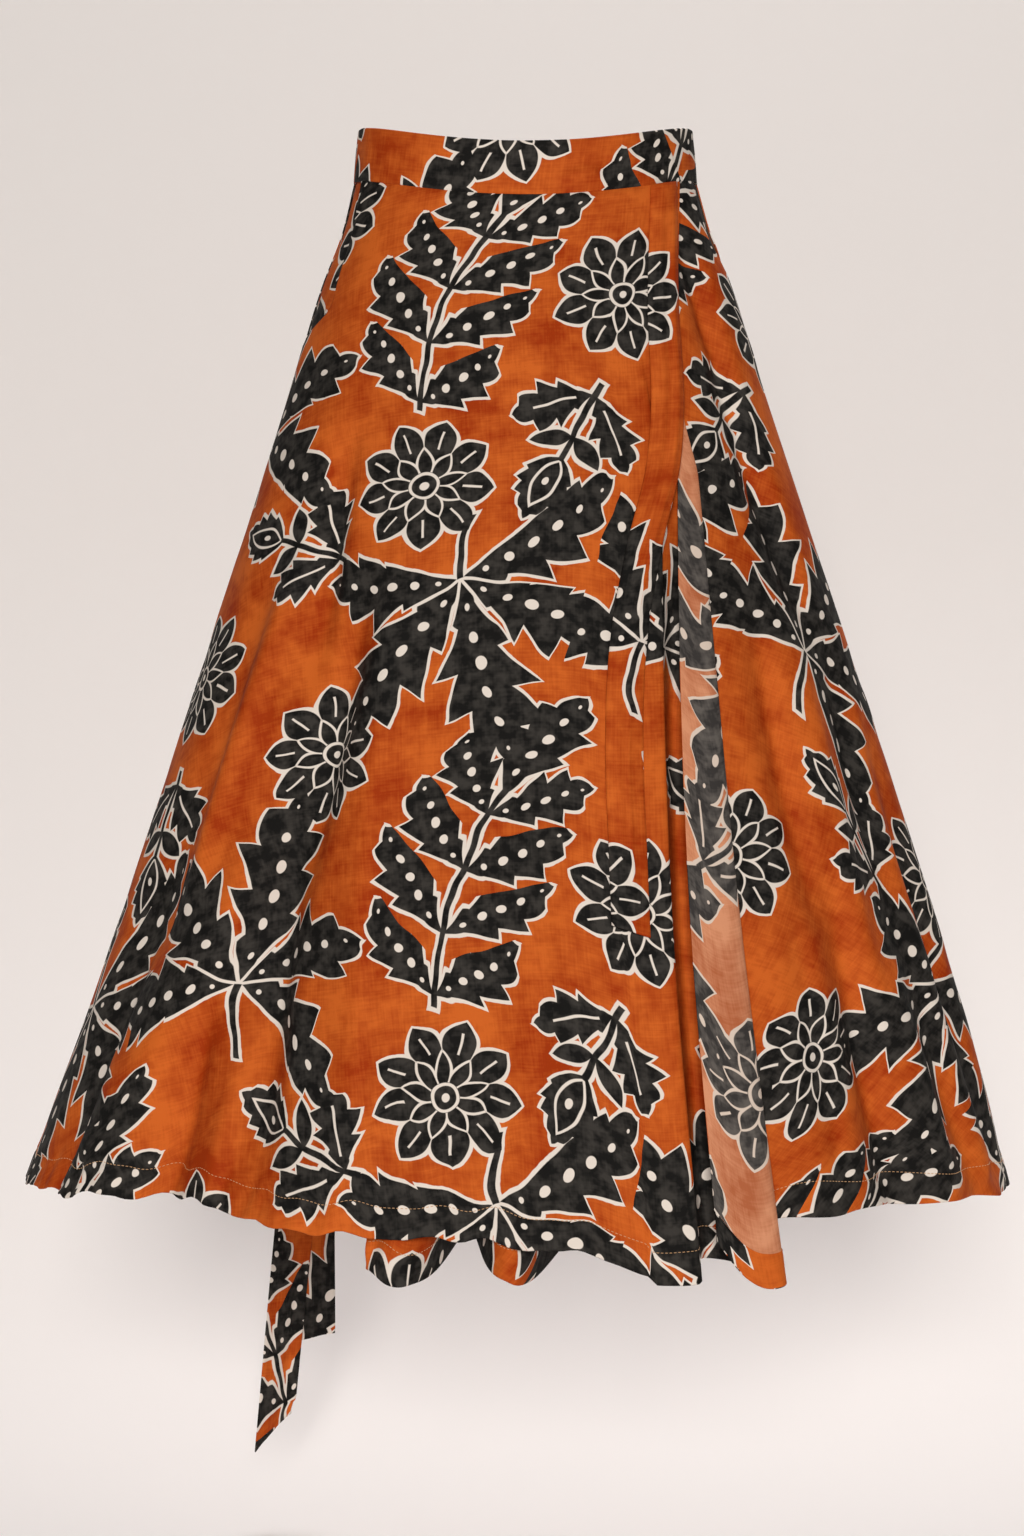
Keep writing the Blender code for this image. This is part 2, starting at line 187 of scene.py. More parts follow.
def bump(share: Any) -> Array:
    """1 at 0, falling off on both sides as exp(-s^2)."""
    return np.exp(-np.square(share))


def waves(along: Array, length: float, seed: int) -> Array:
    """An uneven ripple.

    The sum of five sines whose wavelengths lie between 0.6 and 1.7 times `length`, each
    with a phase drawn from a seeded generator, divided by the square root of five.

    Args:
        along: places along the ripple.
        length: middle wavelength.
        seed: picks the phases and wavelengths.

    Returns:
        The ripple's height at each place, mostly between -1 and 1.
    """
    draw = np.random.default_rng(seed)
    total = np.zeros_like(along)
    for factor in (0.6, 0.83, 1.0, 1.31, 1.7):
        wavelength = length * factor * draw.uniform(0.92, 1.08)
        total += np.sin(2 * math.pi * along / wavelength + draw.uniform(0, 2 * math.pi))
    return total / math.sqrt(5)


@dataclass(frozen=True)
class SkirtForm:
    """The form that the skirt keeps on the figure: its rings, its wrap and its folds."""

    band_height: float = 0.042
    band_seam_gap: float = 0.0005
    front_dip: float = 0.0256
    hem_level: float = 0.834
    over_from: float = 48.0
    stand_from: float = 62.0
    stand_to: float = 106.0
    lower_layer_off: float = 0.0036
    flat_step: float = 0.004
    fold_growth: float = 1.4
    fold_limit: float = 1.2
    crease_skew: float = 0.25
    crease_swell: float = 0.8
    recess_from: float = 0.27
    recess_to: float = 0.55
    recess_shift: float = 0.009
    recess_half_width: float = 0.016
    recess_depth: float = 0.026
    recess_below: float = 0.3
    rings: tuple[RingRow, ...] = table(
        RingRow,
        (0, 0.1407, 0.098, 0.098, 0.0012), (0.05, 0.1515, 0.106, 0.108, 0.002),
        (0.1, 0.167, 0.116, 0.122, 0.002), (0.2, 0.192, 0.134, 0.143, 0.0025),
        (0.55, 0.2835, 0.206, 0.217, 0.004), (0.8, 0.349, 0.258, 0.269, 0.0025),
        (1.06, 0.415, 0.311, 0.322, -0.008),
    )
    wrap: tuple[WrapRow, ...] = table(
        WrapRow,
        (0, 0.1235, -0.07, 0.0026, 0.0026, 0, 0),
        (0.12, 0.1195, -0.078, 0.004, 0.0046, 0, 0.003),
        (0.2, 0.117, -0.082, 0.005, 0.0078, 0.48, 0.009),
        (0.29, 0.1145, -0.086, 0.0064, 0.0114, 1, 0.018),
        (0.45, 0.1125, -0.094, 0.009, 0.017, 1, 0.029),
        (0.7, 0.1155, -0.103, 0.013, 0.0235, 1, 0.041),
        (1.06, 0.1335, -0.116, 0.0185, 0.03, 1, 0.053),
    )
    edge: tuple[EdgePoint, ...] = table(
        EdgePoint,
        (0, -0.06, 1, 0.034), (0, -0.045, 1, 0.038), (0, -0.03, 1, 0.039),
        (0, -0.019, 1.04, 0.038), (0, -0.012, 0.98, 0.037), (0, -0.0105, 0.55, 0.034),
        (0, -0.013, 0.12, 0.028), (0, -0.002, 0, 0.026), (0.4, 0, 0, 0.028),
        (0.8, 0, 0.02, 0.034), (0.98, 0, 0.1, 0.04), (1.05, 0, 0.33, 0.043),
        (0.95, 0, 0.6, 0.045), (0.68, 0, 0.66, 0.047), (0.38, 0, 0.62, 0.038),
        (0, 0, 0.56, 0.004),
    )
    front_folds: tuple[Fold, ...] = table(
        Fold,
        (36, 9, 0.007, 0.2), (52, 9, -0.02, 0.12), (66, 9, 0.009, 0.3),
        (82, 8, -0.003, 0.5), (101, 6, -0.006, 0.45),
    )
    under_folds: tuple[Fold, ...] = table(
        Fold,
        (77.5, 3.4, 0.01, 0.45), (83.8, 2.6, -0.02, 0.45), (89.3, 3.2, 0.011, 0.45),
        (94.8, 3, -0.018, 0.5), (127, 7, 0.009, 0.15), (140, 8, -0.013, 0.2),
        (155, 8, 0.006, 0.25),
    )
    back_folds: tuple[Fold, ...] = table(
        Fold,
        (202, 9, -0.012, 0.2), (219, 9, 0.011, 0.15), (238, 10, -0.015, 0.15),
        (257, 9, 0.012, 0.2), (276, 10, -0.013, 0.2), (296, 9, 0.011, 0.15),
        (315, 9, -0.012, 0.2), (335, 9, 0.007, 0.2),
    )

    def dip(self, angle: Any) -> Array:
        """How far the waist sinks below its sides: towards the middle of the front."""
        return self.front_dip * np.clip(np.sin(angle), 0.0, 1.0) ** 2

    def seam(self, angle: Any) -> Array:
        """The depth of the waist seam below the middle of the waist."""
        return self.band_height / 2 + self.band_seam_gap + self.dip(angle)

    def drop_at(self, angle: Any, depth: Any) -> Array:
        """The drop that lies at this depth below the middle of the waist."""
        return (depth - self.seam(angle)) / (self.hem_level - self.seam(angle))

    def oval(self, angle: Any, width: Any, depth: Any, out: Any) -> tuple[Array, Array]:
        """A place on an oval, moved out square to it.

        The place is (-width cos a, -depth sin a), and the square direction is
        (-depth cos a, -width sin a) made one long.

        Args:
            angle: the angle a.
            width, depth: half the oval's axes.
            out: how far to move out.

        Returns:
            X and Y.
        """
        square_x = -np.cos(angle) * depth
        square_y = -np.sin(angle) * width
        length = np.hypot(square_x, square_y)
        x = -width * np.cos(angle) + out * square_x / length
        y = -depth * np.sin(angle) + out * square_y / length
        return x, y

    def depth_of_ring(self, angle: Any, drop: Any) -> Array:
        """The ring's depth on the side of the figure where the angle lies."""
        front = through(self.rings, "front", drop)
        return np.where(np.sin(angle) > 0, front, through(self.rings, "back", drop))

    def ring(self, angle: Any, drop: Any, out: Any) -> Array:
        """Points of the skirt's ring, an oval that is level but for the waist's dip.

        Args:
            angle, drop: places on the skirt.
            out: how far to move out, square to the ring.

        Returns:
            X, Y and Z along the last axis.
        """
        angle, drop, out = np.broadcast_arrays(angle, drop, out)
        width = through(self.rings, "width", drop)
        x, y = self.oval(angle, width, self.depth_of_ring(angle, drop), out)
        x = x + through(self.rings, "sway", drop)
        seam = self.seam(angle)
        return np.stack([x, y, -(seam + drop * (self.hem_level - seam))], axis=-1)

    def speed(self, angle: Any, drop: Any) -> Array:
        """How many metres of ring a radian covers here."""
        width = through(self.rings, "width", drop)
        return np.hypot(width * np.sin(angle), self.depth_of_ring(angle, drop) * np.cos(angle))

    def front_angle(self, x: Any, drop: Any) -> Array:
        """The angle at which the front of the ring passes this X."""
        along = (x - through(self.rings, "sway", drop)) / through(self.rings, "width", drop)
        return np.arccos(np.clip(-along, -1.0, 1.0))

    def folds(self, rows: Sequence[Fold], angle: Any, drop: Any) -> Array:
        """Soft folds: each grows as a power of the drop below its start and falls off
        across as exp(-s^2).

        Args:
            rows: the folds.
            angle, drop: places on the skirt.

        Returns:
            The height of all the folds at each place.
        """
        total = np.zeros(np.broadcast(angle, drop).shape)
        for row in rows:
            away = (np.degrees(angle) - row.angle) / row.spread
            grown = np.clip((drop - row.start) / (1 - row.start), 0.0, self.fold_limit)
            total = total + row.depth * grown**self.fold_growth * bump(away)
        return total

    def creases(self, rows: Sequence[Crease], angle: Any, drop: Any) -> Array:
        """Short creases.

        Across its line a crease falls off as exp(-s^2), a little faster on one side, and
        along its line it swells and fades as a power of the sine of half a turn.

        Args:
            rows: the creases.
            angle, drop: places on the skirt.

        Returns:
            The height of all the creases at each place.
        """
        angle, drop = np.broadcast_arrays(angle, drop)
        total = np.zeros(angle.shape)
        for row in rows:
            middle = math.radians((row.from_angle + row.to_angle) / 2)
            middle_drop = (row.from_drop + row.to_drop) / 2
            across = (angle - middle) * self.speed(middle, drop)
            down = (drop - middle_drop) * self.hem_level
            turn = math.radians(row.to_angle - row.from_angle)
            run_x = turn * self.speed(middle, middle_drop)
            run_y = (row.to_drop - row.from_drop) * self.hem_level
            length = math.hypot(float(run_x), run_y)
            along = (across * run_x + down * run_y) / length**2 + 0.5
            side = (across * run_y - down * run_x) / length / row.half_width
            side = side * (1 + self.crease_skew * np.tanh(side))
            swell = np.sin(math.pi * np.clip(along, 0.0, 1.0)) ** self.crease_swell
            total = total + row.depth * swell * bump(side)
        return total

    def front_out(self, angle: Any, drop: Any) -> Array:
        """How far out the front panel's face lies over the under panel's ring: level
        with it at the side seam, over it in the middle, standing off beside the fold.

        Args:
            angle, drop: places on the skirt.

        Returns:
            The height at each place.
        """
        from_side = smooth_step(np.degrees(angle) / self.over_from)
        to_edge = (np.degrees(angle) - self.stand_from) / (self.stand_to - self.stand_from)
        over = through(self.wrap, "over", drop)
        stand = through(self.wrap, "stand", drop)
        off = from_side * (over + smooth_step(to_edge) * (stand - over))
        return off + self.folds(self.front_folds, angle, drop)

    def recess(self, angle: Any, drop: Any) -> Array:
        """How far the two layers dip in between the last fold and the flap: a trough that
        falls off across as exp(-s^2) and deepens softly on the way down.

        Args:
            angle, drop: places on the skirt.

        Returns:
            The height at each place, 0 or less.
        """
        edge = self.front_angle(through(self.wrap, "edge_x", drop), drop)
        along = (angle - edge) * self.speed(edge, drop) - self.recess_shift
        grown = smooth_step((drop - self.recess_from) / (self.recess_to - self.recess_from))
        return -self.recess_depth * grown * bump(along / self.recess_half_width)

    def edge_weights(self, samples: int) -> Array:
        """Weights of the folded edge's points on a uniform cubic B-spline that starts at
        the second point and ends on the last one.

        Args:
            samples: how many evenly spaced places to take on the spline.

        Returns:
            A row for each place and a column for each point, the last point twice.
        """
        count = len(self.edge)
        places = np.linspace(0.0, count - 2.0, samples)
        first = np.minimum(places.astype(int), count - 3)
        t = places - first
        basis = ((1 - t) ** 3, 3 * t**3 - 6 * t**2 + 4, -3 * t**3 + 3 * t**2 + 3 * t + 1, t**3)
        weights = np.zeros((samples, count + 1))
        for step, share in enumerate(basis):
            at = (np.arange(samples), np.minimum(first + step, count))
            np.add.at(weights, at, share / 6)
        return weights

    def folded_edge(self, rows: Array, samples: int) -> tuple[Array, Array, Array]:
        """The front panel's edge with its two folds and the turned back flap.

        The edge's points are smoothed by a spline. Where the fold hasn't formed yet, the
        edge lies flat in even steps instead, and between the two it is a mixture.

        Args:
            rows: shares of the way down, 0 to 1.
            samples: columns round the folds.

        Returns:
            Angle, drop and height over the under panel's ring, rows by columns.
        """
        count = len(self.edge)
        weights = self.edge_weights(samples)
        reach, shift, height, extra = (weights @ np.array(self.edge + self.edge[-1:])).T
        steps = np.minimum(np.arange(count + 1), count - 1) - (count - 1)
        flat = weights @ (self.flat_step * steps)
        drop = rows[:, None] * (1 + extra / self.hem_level)
        turned = through(self.wrap, "fold", drop).clip(0, 1)
        along = (1 - turned) * flat + turned * (reach * through(self.wrap, "flap", drop) + shift)
        edge = self.front_angle(through(self.wrap, "edge_x", drop), drop)
        angle = edge + along / self.speed(edge, drop)
        front = self.front_out(np.minimum(angle, edge), drop)
        stand = through(self.wrap, "stand", drop)
        lying = self.lower_layer_off + height * (stand - self.lower_layer_off)
        lying = lying + self.folds(self.under_folds, angle, drop)
        low = (1 - height / self.recess_below).clip(0, 1)
        lying = lying + low * self.recess(angle, drop)
        return angle, drop, front * (1 - turned) + lying * turned


FORM = SkirtForm()


# ---------------- cloth and thread


class Side(Enum):
    """The two faces of the printed cloth."""

    RIGHT = "right side"
    WRONG = "wrong side"


@dataclass(frozen=True)
class Finishes:
    """The materials that the pieces are dressed in."""

    cloth: dict[Side, bpy.types.Material]
    thread: bpy.types.Material


def grid_normals(points: Array) -> Array:
    """Unit normals of a grid: the step down crossed with the step across."""
    normal = np.cross(np.gradient(points, axis=0), np.gradient(points, axis=1))
    return normal / np.linalg.norm(normal, axis=-1, keepdims=True)


def grid_faces(rows: int, columns: int) -> tuple[Array, Array]:
    """The points of a grid as numbers, and its four-sided faces.

    Args:
        rows, columns: how many points the grid has each way.

    Returns:
        The number of each point, and four numbers for each face.
    """
    at = np.arange(rows * columns).reshape(rows, columns)
    face = np.stack([at[:-1, :-1], at[1:, :-1], at[1:, 1:], at[:-1, 1:]], axis=-1)
    return at, face.reshape(-1, 4)


def lengths_along(points: Array, axis: int) -> Array:
    """How far each point lies from the grid's first one along an axis.

    Args:
        points: the grid.
        axis: 0 down the rows, 1 across the columns.

    Returns:
        The sum of the steps up to each point.
    """
    steps = np.linalg.norm(np.diff(points, axis=axis), axis=-1)
    total = np.cumsum(steps, axis=axis)
    return np.concatenate([np.zeros_like(np.take(total, [0], axis=axis)), total], axis=axis)


def above_hem(points: Array) -> Array:
    """How far each point of a grid lies above its lower edge, along the cloth."""
    down = lengths_along(points, 0)
    return down[-1:] - down


def mesh_of(name: str, corners: Array, faces: Array) -> bpy.types.Mesh:
    """A smooth mesh of four-sided faces.

    Args:
        name: the mesh's name.
        corners: points, one row each.
        faces: four indices a row, turning left as seen from outside.

    Returns:
        The mesh.
    """
    mesh = bpy.data.meshes.new(name)
    mesh.vertices.add(len(corners))
    mesh.vertices.foreach_set("co", corners.astype(np.float32).ravel())
    mesh.loops.add(faces.size)
    mesh.loops.foreach_set("vertex_index", faces.astype(np.int32).ravel())
    mesh.polygons.add(len(faces))
    mesh.polygons.foreach_set("loop_start", np.arange(0, faces.size, 4, dtype=np.int32))
    mesh.update(calc_edges=True)
    mesh.validate()
    mesh.shade_smooth()
    return mesh


def placed(mesh: bpy.types.Mesh) -> bpy.types.Object:
    """The mesh as a piece of the skirt, at the origin and riding on its body.

    Args:
        mesh: the finished mesh.

    Returns:
        The piece, named as its mesh.
    """
    piece = bpy.data.objects.new(mesh.name, mesh)
    bpy.context.scene.collection.objects.link(piece)
    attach(piece, BODY)
    return piece


@dataclass(frozen=True)
class StitchRow:
    """A row of lock stitches: short bars of thread that dip into the cloth at both ends.
    They are a little coarser than real ones, which would be too fine to show."""

    pitch: float = 0.0032
    length: float = 0.0025
    radius: float = 0.00028
    rise: float = 1.5
    sink: float = 0.6
    end_share: float = 0.35
    rings: int = 5
    sides: int = 6

    def build(
        self, name: str, path: Array, normals: Array, thread: bpy.types.Material
    ) -> bpy.types.Object:
        """Stitches along a path on the cloth.

        Along a stitch the thread's middle rises as the sine of half a turn, and its
        radius shrinks as the root of that towards the ends, where it enters the cloth.

        Args:
            name: name of the piece.
            path: points of the seam line on the cloth's face.
            normals: the cloth's normal at each point.
            thread: finish of the thread.

        Returns:
            One piece with all the stitches.
        """
        along = lengths_along(path[None], 1)[0]
        starts = np.arange(self.pitch / 2, along[-1] - self.pitch, self.pitch)
        share = np.linspace(0.0, 1.0, self.rings)
        at = starts[:, None] + share * self.length
        centre, up = (
            np.stack([np.interp(at, along, values[:, k]) for k in range(3)], axis=-1)
            for values in (path, normals)
        )
        forward = np.gradient(centre, axis=1)
        forward = forward / np.linalg.norm(forward, axis=-1, keepdims=True)
        sideways = np.cross(forward, up)
        arch = np.sin(math.pi * share)
        centre = centre + up * (self.radius * (self.rise * arch - self.sink))[None, :, None]
        middle_share = (1 - self.end_share) * np.sqrt(arch.clip(0.0, 1.0))
        thick = self.radius * (self.end_share + middle_share)
        turn = np.linspace(0.0, 2 * math.pi, self.sides, endpoint=False)[None, None, :, None]
        ring = sideways[:, :, None] * np.cos(turn) + up[:, :, None] * np.sin(turn)
        points = centre[:, :, None] + ring * thick[None, :, None, None]
        grid = np.arange(self.rings * self.sides).reshape(self.rings, self.sides)
        ahead = np.roll(grid, -1, axis=1)
        one = np.stack([grid[:-1], grid[1:], ahead[1:], ahead[:-1]], axis=-1).reshape(-1, 4)
        ends = [
            [row[0], row[k], row[k + 1], row[k + 2]]
            for row in (grid[0], grid[-1][::-1])
            for k in (1, self.sides // 2)
        ]
        one = np.concatenate([one, np.array(ends)])
        faces = one[None] + np.arange(len(starts))[:, None, None] * grid.size
        mesh = mesh_of(name, points.reshape(-1, 3), faces.reshape(-1, 4))
        mesh.materials.append(thread)
        return placed(mesh)


@dataclass
class CutPiece:
    """A cut piece of cloth as a grid of points of its outer face, rows from the top down
    and columns from the wearer's right to left as seen from outside."""

    name: str
    points: Array
    thickness: float | Array
    cut_at: Pair
    grain_column: int = 0
    flared: bool = True
    inside: Side = Side.WRONG
    rounding: float = 0.4

    def flat(self) -> Array:
        """Where each point lies on the flat cloth.

        A flared piece is unrolled as a cone: with s the distance from the cone's tip and
        w the length along the row from the grain column, the place is (s sin(w/s),
        tip - s cos(w/s)). A straight one is unrolled as a strip.

        Returns:
            Across and down the cloth, along the last axis.
        """
        along = lengths_along(self.points, 1)
        along = along - along[:, self.grain_column][:, None]
        down = lengths_along(self.points, 0)[:, self.grain_column][:, None]
        if not self.flared:
            return np.stack(np.broadcast_arrays(along, -down), axis=-1) + self.cut_at
        width = along[:, -1] - along[:, 0]
        tip = width[0] * down[-1, 0] / (width[-1] - width[0])
        reach = tip + down
        across, out = reach * np.sin(along / reach), tip - reach * np.cos(along / reach)
        return np.stack([across, out], axis=-1) + self.cut_at

    def cut(self) -> tuple[float, float, float]:
        """The size of the flat cut piece. Each face's area is half the cross product of
        its diagonals.

        Returns:
            Width, length and area.
        """
        flat = self.flat()
        size = flat.reshape(-1, 2).max(0) - flat.reshape(-1, 2).min(0)
        one = flat[1:, 1:] - flat[:-1, :-1]
        other = flat[:-1, 1:] - flat[1:, :-1]
        area = np.abs(one[..., 0] * other[..., 1] - one[..., 1] * other[..., 0]).sum() / 2
        return float(size[0]), float(size[1]), float(area)

    def build(self, materials: dict[Side, bpy.types.Material]) -> bpy.types.Object:
        """The closed shell of the piece.

        The inner face lies one thickness inwards along the normals. Both borders meet in
        a middle line that stands out by a share of the thickness, so that the edge is
        round.

        Args:
            materials: the cloth's finish for each of its sides.

        Returns:
            The piece, linked into the scene, riding on the skirt's body.
        """
        points = self.points
        wall = np.broadcast_to(self.thickness, points.shape[:2])
        inner = points - grid_normals(points) * wall[..., None]
        at, face = grid_faces(*points.shape[:2])
        near = np.concatenate([at[0, :-1], at[:-1, -1], at[-1, :0:-1], at[:0:-1, 0]])
        inward = np.pad(points[1:-1, 1:-1], ((1, 1), (1, 1), (0, 0)), mode="edge")
        away = (points - inward).reshape(-1, 3)[near]
        away = away / np.linalg.norm(away, axis=-1, keepdims=True)
        middle = (points.reshape(-1, 3)[near] + inner.reshape(-1, 3)[near]) / 2
        middle = middle + away * wall.reshape(-1, 1)[near] * self.rounding
        corners = np.concatenate([points.reshape(-1, 3), inner.reshape(-1, 3), middle])
        following = np.roll(near, -1)
        ridge = 2 * at.size + np.arange(len(near))
        next_ridge = np.roll(ridge, -1)
        outer_band = np.stack([near, following, next_ridge, ridge], axis=-1)
        inner_band = np.stack([ridge, next_ridge, following + at.size, near + at.size], axis=-1)
        faces = np.concatenate([face, face[:, ::-1] + at.size, outer_band, inner_band])
        mesh = mesh_of(f"{self.name}_cloth", corners, faces)

        hem = np.stack([above_hem(points), np.zeros(at.shape)], axis=-1)
        for map_name, grid in ((CLOTH_MAP, self.flat()), (HEM_MAP, hem)):
            values = grid.reshape(-1, 2)
            whole = np.concatenate([values, values, values[near]])
            layer = mesh.uv_layers.new(name=map_name)
            layer.data.foreach_set("uv", whole[faces.ravel()].astype(np.float32).ravel())
        slots = np.zeros(len(faces), np.int32)
        slots[len(face) : 2 * len(face)] = 1
        mesh.polygons.foreach_set("material_index", slots)
        for side in (Side.RIGHT, self.inside):
            mesh.materials.append(materials[side])
        return placed(mesh)

    def sew(
        self, finishes: Finishes, rests_on: str, stitched_row: int | None = None
    ) -> bpy.types.Object:
        """Builds the piece, stitches its hem and hides the imported solid of its own name.
        It also works out the size of its flat cut, which nothing uses.

        Args:
            finishes: the cloth and the thread.
            rests_on: what the piece hangs from; not used.
            stitched_row: the row of the grid that the hem's stitches follow.

        Returns:
            The piece without its stitches.
        """
        piece = self.build(finishes.cloth)
        if stitched_row is not None:
            name = self.name.replace("panel", "hem_thread")
            line = self.points[stitched_row], grid_normals(self.points)[stitched_row]
            StitchRow().build(name, *line, finishes.thread)
        width, length, area = self.cut()
        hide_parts(self.name)
        return piece


# ---------------- panels and pockets


@dataclass(frozen=True)
class Hem:
    """A turned up hem, stitched once near its upper edge."""

    depth: float = 0.025
    stitch_below: float = 0.0018
    groove: float = 0.0004
    groove_width: float = 0.0014
    ruffle: float = 0.0013
    ruffle_length: float = 0.026
    ruffle_reach: float = 1.6
    wobble: float = 0.0024
    wobble_length: float = 0.062
    wobble_from: float = 0.7
    turning: float = 0.0005
    panel_length: float = 0.86
    even_rows_to: float = 0.014
    fold_rows: tuple[float, ...] = (0.0100, 0.0050, 0.0022, 0.0006, -0.0002, -0.0009)
    groove_rows: tuple[float, ...] = (0.0006, 0.0, -0.0006, -0.0022)
    last_rows_from: float = 0.0045
    last_rows: int = 9

    def rows(self, count: int) -> Array:
        """Where a panel's rows lie: evenly above the hem, and close at its stitches.

        Args:
            count: how many rows lie evenly.

        Returns:
            Shares of the way down.
        """
        line = self.depth - self.stitch_below
        near = [self.depth + np.array(self.fold_rows), line + np.array(self.groove_rows)]
        below = np.linspace(line - self.last_rows_from, 0.0, self.last_rows)
        last = 1 - (self.depth + self.even_rows_to) / self.panel_length
        shares = 1 - np.concatenate([*near, below]) / self.panel_length
        return np.concatenate([np.linspace(0.0, last, count), shares])

    def stitch_row(self, count: int) -> int:
        """The index in `rows` of the row that the stitches follow."""
        return count + len(self.fold_rows) + self.groove_rows.index(0.0)

    def shape(self, arc: Array, share: Array, seed: int, ease: Array) -> Array:
        """What the hem adds to the face's height: its stitched groove and a slight
        ruffle that fades out above it.

        Args:
            arc: length along the hem.
            share: share of the way down the panel.
            seed: picks the ruffle.
            ease: how loose the hem hangs at each point, 1 where it ruffles freely.

        Returns:
            The height to add.
        """
        above = (1 - share) * self.panel_length
        groove = -self.groove * bump((above - self.depth + self.stitch_below) / self.groove_width)
        fade = smooth_step(self.ruffle_reach - above / self.depth)
        return groove + self.ruffle * fade * ease * waves(arc, self.ruffle_length, seed)

    def wander(self, arc: Array, share: Array, seed: int, ease: Array) -> Array:
        """How far the cloth above an uneven hem lies too low, with the arguments of
        `shape`, as a share of the level hem's drop."""
        fade = smooth_step((share - self.wobble_from) / (1 - self.wobble_from))
        return self.wobble * fade * ease * waves(arc, self.wobble_length, seed) / FORM.hem_level

    def wall(self, points: Array) -> Array:
        """The cloth's thickness at each point: doubled where the hem is turned up."""
        return CLOTH_WALL * (1 + smooth_step((self.depth - above_hem(points)) / self.turning + 0.5))


HEM = Hem()


@dataclass(frozen=True, kw_only=True)
class Panel:
    """What the three panels share: an edge along the side seam that may hold a pocket
    mouth, the slight hand of hung cloth, creases and a stitched hem."""

    name: str
    rests_on: str
    cut_at: Pair
    columns: int
    grain_column: int
    hand_seed: int
    hem_seed: int
    hem: tuple[HemRow, ...]
    creases: tuple[Crease, ...]
    mouth: tuple[MouthRow, ...] = table(MouthRow, (0.0, 0.0))
    rows: int = 128
    uneven: float = 0.0007
    even_above: float = 0.1
    hand_lengths: tuple[float, float, float] = (0.13, 0.31, 0.22)
    hand_drift: float = 0.05
    hand_ebb: float = 0.4

    def drops(self, degrees: Array) -> Array:
        """The drop of every row, in columns that reach the hem at these angles."""
        extra = through(self.hem, "extra", degrees)
        return HEM.rows(self.rows)[:, None] * (1 + extra / FORM.hem_level)

    def off_seam(self, side: float, drop: Array) -> Array:
        """How many radians the edge lies from the seam on this side of the figure: the
        pocket's mouth and half of the seam's gap."""
        mouth = np.radians(np.interp(drop, *zip(*self.mouth)))
        return mouth + SEAM_GAP / 2 / FORM.speed(side, drop)

    def hand(self, angle: Array, drop: Array) -> Array:
        """The slight hand of hung cloth, which fades out towards the waist.

        It is the product of an uneven ripple round the skirt, whose phase drifts on the
        way down, and a slower one down it.

        Args:
            angle, drop: places on the skirt.

        Returns:
            The height at each place.
        """
        across, down = angle * FORM.speed(angle, drop), drop * FORM.hem_level
        round_length, drift_length, down_length = self.hand_lengths
        drift = self.hand_drift * waves(down, drift_length, self.hand_seed + 1)
        ebb = self.hand_ebb * waves(down, down_length, self.hand_seed + 2)
        ripple = waves(across + drift, round_length, self.hand_seed) * (1 - self.hand_ebb + ebb)
        return self.uneven * smooth_step(drop / self.even_above) * ripple

    def hemmed(self, angle: Array, drop: Array, out: Array, arc: Array, ease: Array) -> Array:
        """Points of the face, with the hem's groove, ruffle and uneven fall.

        Args:
            angle, drop, out: the face without them.
            arc: length along the hem.
            ease: how loose the hem hangs at each point.

        Returns:
            X, Y and Z along the last axis.
        """
        share = HEM.rows(self.rows)[:, None] * np.ones_like(out)
        out = out + HEM.shape(arc, share, self.hem_seed, ease)
        return FORM.ring(angle, drop + HEM.wander(arc, share, self.hem_seed + 1, ease), out)

    def grid(self) -> Array:
        """Points of the outer face. Each panel has its own."""
        raise NotImplementedError(self.name)

    def build(self, finishes: Finishes) -> bpy.types.Object:
        """Builds the panel with its hem stitches.

        Args:
            finishes: the cloth and the thread.

        Returns:
            The panel.
        """
        points = self.grid()
        cut = CutPiece(self.name, points, HEM.wall(points), self.cut_at, self.grain_column)
        return cut.sew(finishes, self.rests_on, HEM.stitch_row(self.rows))


